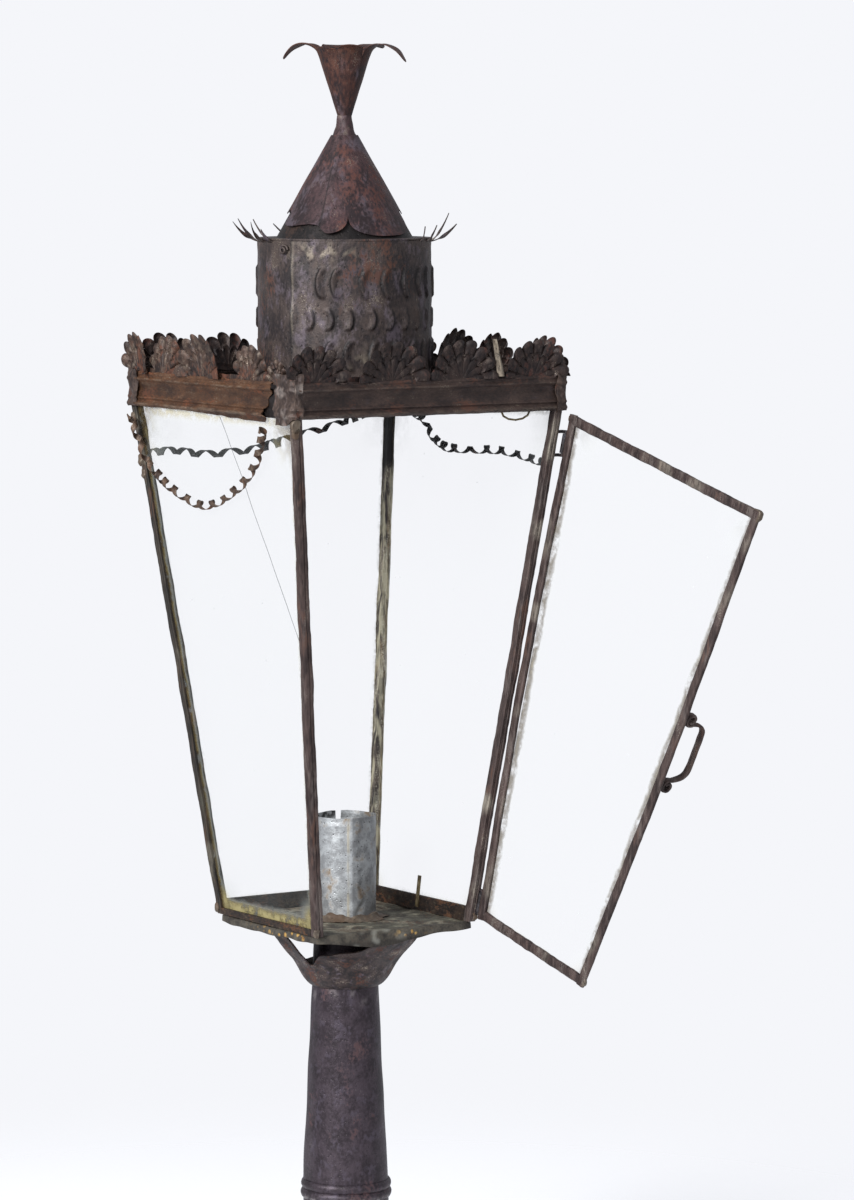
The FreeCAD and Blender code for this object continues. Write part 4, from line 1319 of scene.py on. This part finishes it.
def build_garlands():
    """Curled ribbons that droop from the cornice outside three of the panes."""
    for side, places in GARLANDS.items():
        line = [side_point(side, along, half(h) + 6.5, h) for along, h in places]
        run = sum((b - a).length for a, b in zip(line, line[1:])) / MM
        pitch = bpy.context.scene.lantern_sizes.curl_pitch / MM
        steps = int(run / pitch * 16)
        centres = [through(line, index / steps) for index in range(steps + 1)]
        stations = []
        phase = 0.0
        for index, (centre, across, up) in enumerate(stations_along(centres)):
            ahead = across.cross(up)
            looseness = noise.noise(Vector((index / steps * 9, SIDES.index(side) * 5.0, 0)))
            phase += TURN / 16 * (1.0 + 0.5 * looseness)
            radial = across * math.cos(phase) + up * math.sin(phase)
            size = (2.3 + 1.0 * looseness) * MM
            slant = ahead + radial.cross(ahead) * (0.55 + 0.5 * looseness)
            stations.append((centre + radial * size, slant.normalized(), radial))
        ribbon_half = 1.9
        section = [(-ribbon_half, -0.15), (0, -0.2), (ribbon_half, -0.15), (ribbon_half, 0.15), (0, 0.2),
                   (-ribbon_half, 0.15)]
        piece = drawn_bar("garland_ribbon_" + side, section, stations, 50)
        look, slot_name = ("brown_ribbon", "cornice_tin") if side == "left" else ("wire", "dark_wire")
        finished(piece, "lantern", slot_name, FINISHES[look], "garland_" + side)


# ---------------------------------------------------------------- door, modelled shut
DOOR_DEPTH = POST_HALF + 0.5
BAR_WIDTH = 6.0
BAR_THICK = 3.4
DOOR_LOW = 3.0
STILE_BOW = 2.4
DOOR_HIGH = 307.5


def hinge_edge(h):
    return half(h) + 5.0 * h / GLAZED


def free_edge(h):
    return -half(h) + 1.0


def door_point(x, h, depth):
    return at(x, -half(h) - depth, h)


def opened(piece):
    """Turns a piece from the shut door to where the door rests."""
    piece.data.transform(SHUT_TO_REST)
    piece.data.update()
    return piece


def bar_section():
    """Half-round folded bar with a crease along it."""
    points = []
    for index in range(18):
        angle = TURN * index / 18
        a = abs(math.cos(angle)) ** 0.75 * math.copysign(1, math.cos(angle))
        b = abs(math.sin(angle)) ** 0.80 * math.copysign(1, math.sin(angle))
        crease = 0.35 * bump(a, 0.30, 0.22)
        points.append((a * BAR_WIDTH / 2, b * (BAR_THICK / 2 - crease)))
    return points


def door_bar(name, start, end, seed, bow=0.0):
    """Bar between two places (x, h) of its middle line, which bows along x by so many millimetres."""
    runs = 90
    (x0, h0), (x1, h1) = start, end
    first, last = door_point(x0, h0, 5.0), door_point(x1, h1, 5.0)
    ahead = (last - first).normalized()
    face = (door_point(0, h1 + 10, 0) - door_point(0, h1, 0)).cross(Vector((1, 0, 0))).normalized()
    across = ahead.cross(face).normalized()
    stations = []
    for index in range(runs + 1):
        t = index / runs
        sway = noise.noise_vector(Vector((seed, 0.5, t * 9))) * 0.35 * MM
        swell = 1 + 0.10 * noise.noise(Vector((seed, 3.0, t * 14)))
        sway.x += bow * MM * math.sin(math.pi * t) ** 1.5
        stations.append((first.lerp(last, t) + across * sway.x + face * sway.y, across * swell, face * swell))
    piece = drawn_bar(name, bar_section(), stations, 45)
    roughen(piece, 4.0, 0.2)
    return opened(piece)


def build_door():
    """The door's four bars, its solder and its handle."""
    inset = BAR_WIDTH / 2
    low, high = DOOR_LOW + inset, DOOR_HIGH - inset
    bars = {
        "hinge_stile": ((hinge_edge(DOOR_LOW) - inset, DOOR_LOW), (hinge_edge(DOOR_HIGH) - inset, DOOR_HIGH)),
        "free_stile": ((free_edge(DOOR_LOW) + inset, DOOR_LOW), (free_edge(DOOR_HIGH) + inset, DOOR_HIGH)),
        "bottom_rail": ((free_edge(low) + 2, low), (hinge_edge(low) - 2, low)),
        "top_rail": ((free_edge(high) + 2, high), (hinge_edge(high) - 2, high)),
    }
    bows = {"hinge_stile": -3.0, "free_stile": STILE_BOW}
    for seed, (bar, (start, end)) in enumerate(bars.items()):
        piece = door_bar("door_bar_" + bar, start, end, seed * 4.0 + 1, bows.get(bar, 0.0))
        # Pale patches on the bars: painted glints of light.
        paint(piece, "wear_and_highlight", lambda p: 0.4 * smooth(noise.noise(p * 50), 0.25, 0.45))
        finished(piece, "door", "post_tin", FINISHES["post"], "door_" + bar)

    dabs = []
    for x, h, size in (
            (hinge_edge(low) - inset, low, 3.0), (hinge_edge(high) - inset, high, 3.6),
            (free_edge(high) + inset, high, 4.6), (free_edge(low) + inset, low, 3.4)):
        dab = lump("door_dab", door_point(x, h, 5.0), (size, BAR_THICK / 2 + 0.9, size * 0.95), 4.0, 1.0)
        # Flat behind, where it meets the post, and below the cornice's corner fold.
        for vertex in dab.data.vertices:
            height = min((vertex.co.z - BASE) / MM, 308.0)
            vertex.co.z = BASE + height * MM
            vertex.co.y = min(vertex.co.y, -(half(height) + 3.8) * MM)
        dabs.append(opened(dab))
    piece = joined("door_corner_solder", dabs)
    finished(piece, "door", "solder", FINISHES["dull_solder"], "door_solder")

    middle = (DOOR_LOW + DOOR_HIGH) / 2
    centre = door_point(free_edge(middle) + inset - STILE_BOW, middle, DOOR_DEPTH + BAR_THICK)
    along = (door_point(free_edge(DOOR_HIGH), DOOR_HIGH, 0) - door_point(free_edge(DOOR_LOW), DOOR_LOW, 0)).normalized()
    out = Vector((0, -1, 0))
    across = along.cross(out).normalized()
    route = []
    for index in range(12):
        turn_angle = math.radians(-60 + 40 * index)
        size = 1.6 + 2.3 * index / 11
        route.append((21.6 - size * math.cos(turn_angle), 4.0 + size * math.sin(turn_angle)))
    route += [(18.2, 6.2), (17.4, 11.5), (14.0, 15.6), (6, 16.4)]
    route += [(-u, v) for u, v in reversed(route)]
    points = [centre + along * (u * MM) + out * (v * MM) for u, v in route]
    steps = 6 * (len(points) - 1)
    line = [through(points, index / steps) for index in range(steps + 1)]
    stations = []
    for index, point in enumerate(line):
        ahead = (line[min(index + 1, steps)] - line[max(index - 1, 0)]).normalized()
        stations.append((point, across, ahead.cross(across)))
    section = [(-2.2, -0.6), (-1.2, -0.95), (1.2, -0.95), (2.2, -0.6), (2.4, 0.0), (2.2, 0.6), (1.2, 0.95),
               (-1.2, 0.95), (-2.2, 0.6), (-2.4, 0.0)]
    handle = drawn_bar("door_pull", section, stations, 50)
    roughen(handle, 4, 0.25)
    opened(handle)
    finished(handle, "door", "post_tin", FINISHES["post"], "door_handle")


def coat_frame_parts():
    """Finishes for the frame's own parts that stay in sight."""
    # The roof plate, vent cone and top rails take the darker inside tin, painted shade for where they stand.
    coats = {
        "roof_plate": "inside", "chimney_top": "drum", "vent_cone": "inside", "pane_clip": "brass_wire",
        "hinge_knuckle_upper": "wire", "hinge_knuckle_lower": "wire", "hinge_staple_upper": "wire",
        "hinge_staple_lower": "wire", "wire_tie": "brass_wire", "door_pane": "glass_door"}
    for side in SIDES:
        coats["top_rail_" + side] = "inside"
        if side != "door":
            coats["bottom_rail_" + side] = "rail"
            coats["pane_" + side] = "glass_" + side
    for name, finish in coats.items():
        coat(name, finish)


# ---------------------------------------------------------------- stage
def aim(thing, place, target):
    thing.location = place
    thing.rotation_euler = (Vector(target) - Vector(place)).to_track_quat("-Z", "Y").to_euler()


def soft_light(name, place, target, size, watts):
    start_clean()
    bpy.ops.object.light_add(type="AREA", location=place)
    light = bpy.context.active_object
    light.name = name
    light.data.size = size
    light.data.energy = watts
    aim(light, place, target)


def build_stage():
    """Pale floor that fades out, soft light from the left and the camera."""
    start_clean()
    bpy.ops.mesh.primitive_circle_add(vertices=96, radius=1.2, fill_type="TRIFAN", location=(0, 0, 0))
    floor = rename(bpy.context.active_object, "floor")
    pale = Finish("pale_floor")
    x, y, z = pale.axes()
    far = pale.node("VectorMath", {"operation": "LENGTH"}, {0: pale.place}, "Value")
    pale.set(
        Base_Color=colour(244, 245, 248), Roughness=0.9,
        Alpha=(1.0 - pale.step(far, 0.12, 0.75)) * 0.8)
    pale.shader.inputs["Emission Color"].default_value = colour(244, 245, 248)
    pale.shader.inputs["Emission Strength"].default_value = 0.32
    pale.shader.inputs["Specular IOR Level"].default_value = 0.1
    floor.data.materials.append(pale.material)

    scene = bpy.context.scene
    scene.view_settings.view_transform = "Standard"
    world = bpy.data.worlds.new("pale_studio")
    world.use_nodes = True
    scene.world = world
    nodes, links = world.node_tree.nodes, world.node_tree.links
    background = nodes["Background"]
    background.inputs["Color"].default_value = (0.92, 0.94, 1.0, 1.0)
    background.inputs["Strength"].default_value = 0.50
    backdrop = nodes.new("ShaderNodeBackground")
    backdrop.inputs["Color"].default_value = colour(245, 246, 250)
    path = nodes.new("ShaderNodeLightPath")
    mixer = nodes.new("ShaderNodeMixShader")
    links.new(path.outputs["Is Camera Ray"], mixer.inputs[0])
    links.new(background.outputs[0], mixer.inputs[1])
    links.new(backdrop.outputs[0], mixer.inputs[2])
    links.new(mixer.outputs[0], nodes["World Output"].inputs["Surface"])

    middle = (0, 0, 0.5)
    soft_light("window_light", (-2.3, -0.7, 1.5), middle, 1.0, 75)
    soft_light("front_light", (-0.9, -2.6, 1.3), middle, 1.0, 12)

    start_clean()
    heading = math.radians(56.70)
    tilt = math.radians(5.37)
    bpy.ops.object.camera_add(location=(-1.6413, -2.5884, 0.7210))
    camera = bpy.context.active_object
    camera.name = "viewing_camera"
    camera.data.lens = 153.25
    camera.data.sensor_width = 36.0
    camera.data.sensor_fit = "AUTO"
    ahead = Vector((
        math.cos(heading) * math.cos(tilt), math.sin(heading) * math.cos(tilt), -math.sin(tilt)))
    camera.rotation_euler = ahead.to_track_quat("-Z", "Y").to_euler()
    scene.camera = camera


# ---------------------------------------------------------------- add-on
class LanternSizes(bpy.types.PropertyGroup):
    """Sizes that may be changed without moving a frame part"""
    curl_pitch: FloatProperty(
        name="Curl pitch", description="Length of garland in one curl of its ribbon", default=0.0120,
        min=0.004, max=0.03, subtype="DISTANCE", unit="LENGTH")


class LanternColours(bpy.types.PropertyGroup):
    """Colours of the old tin"""
    skin: FloatVectorProperty(
        name="Skin", description="Dark skin of the tin", default=colour(86, 70, 66), size=4, subtype="COLOR",
        min=0.0, max=1.0)
    rust: FloatVectorProperty(
        name="Rust", description="Rusted patches", default=colour(96, 58, 44), size=4, subtype="COLOR",
        min=0.0, max=1.0)
    bloom: FloatVectorProperty(
        name="Bloom", description="Grey-purple bloom on the tin", default=colour(104, 94, 104), size=4,
        subtype="COLOR", min=0.0, max=1.0)
    # This colour also lightens the painted highlights on the cornice ridges.
    wear_and_highlight: FloatVectorProperty(
        name="Bare metal", description="Worn bright spots", default=colour(168, 156, 138), size=4,
        subtype="COLOR", min=0.0, max=1.0)


class LanternStep:
    """What every step of the build has in common."""
    bl_options = {"REGISTER", "UNDO"}
    builders = ()

    def execute(self, context):
        if not FINISHES:
            FINISHES.update(make_finishes())
        for builder in type(self).builders:
            builder()
        return {"FINISHED"}


class LANTERN_OT_stage(LanternStep, bpy.types.Operator):
    """Pale floor, soft light and camera"""
    bl_idname = "lantern.stage"
    bl_label = "Stage"
    builders = (build_stage,)


class LANTERN_OT_foot(LanternStep, bpy.types.Operator):
    """Pole sleeve, ferrule, beads and flared collar"""
    bl_idname = "lantern.foot"
    bl_label = "Foot"
    builders = (build_sleeve, build_ferrule, build_bead_band, build_calyx)


class LANTERN_OT_base(LanternStep, bpy.types.Operator):
    """Base plate and candle cup"""
    bl_idname = "lantern.base"
    bl_label = "Base and cup"
    builders = (build_base_plate, build_cup, build_cup_solder)


class LANTERN_OT_posts(LanternStep, bpy.types.Operator):
    """Corner posts and the finishes of the frame's own parts"""
    bl_idname = "lantern.posts"
    bl_label = "Posts"
    builders = (build_posts, coat_frame_parts)


class LANTERN_OT_cornice(LanternStep, bpy.types.Operator):
    """Cornice bands, palmettes and corner folds"""
    bl_idname = "lantern.cornice"
    bl_label = "Cornice"
    builders = (build_cornice, build_crests, build_gussets)


class LANTERN_OT_chimney(LanternStep, bpy.types.Operator):
    """Drum, spikes, cone and tulip"""
    bl_idname = "lantern.chimney"
    bl_label = "Chimney"
    builders = (build_drum, build_spikes, build_cone_cap, build_tulip)


class LANTERN_OT_garlands(LanternStep, bpy.types.Operator):
    """Curled ribbons"""
    bl_idname = "lantern.garlands"
    bl_label = "Garlands"
    builders = (build_garlands,)


class LANTERN_OT_door(LanternStep, bpy.types.Operator):
    """Door bars, solder and pull"""
    bl_idname = "lantern.door"
    bl_label = "Door"
    builders = (build_door,)


STEPS = (
    LANTERN_OT_stage, LANTERN_OT_foot, LANTERN_OT_base, LANTERN_OT_posts, LANTERN_OT_cornice,
    LANTERN_OT_chimney, LANTERN_OT_garlands, LANTERN_OT_door)


class LANTERN_PT_panel(bpy.types.Panel):
    """Lists the steps of the build with its sizes and colours"""
    bl_idname = "LANTERN_PT_panel"
    bl_label = "Candle Lantern"
    bl_space_type = "VIEW_3D"
    bl_region_type = "UI"
    bl_category = "Lantern"

    def draw(self, context):
        layout = self.layout
        for group in (context.scene.lantern_sizes, context.scene.lantern_colours):
            for name in group.__annotations__:
                layout.prop(group, name)
        for step in STEPS:
            layout.operator(step.bl_idname)


CLASSES = (LanternSizes, LanternColours, *STEPS, LANTERN_PT_panel)


def register():
    for item in CLASSES:
        bpy.utils.register_class(item)
    bpy.types.Scene.lantern_sizes = PointerProperty(type=LanternSizes)
    bpy.types.Scene.lantern_colours = PointerProperty(type=LanternColours)


def unregister():
    del bpy.types.Scene.lantern_colours
    del bpy.types.Scene.lantern_sizes
    for item in reversed(CLASSES):
        bpy.utils.unregister_class(item)


def main():
    """Builds the lantern step by step."""
    register()
    for step in STEPS:
        family, name = step.bl_idname.split(".")
        getattr(getattr(bpy.ops, family), name)()


if __name__ == "__main__":
    main()
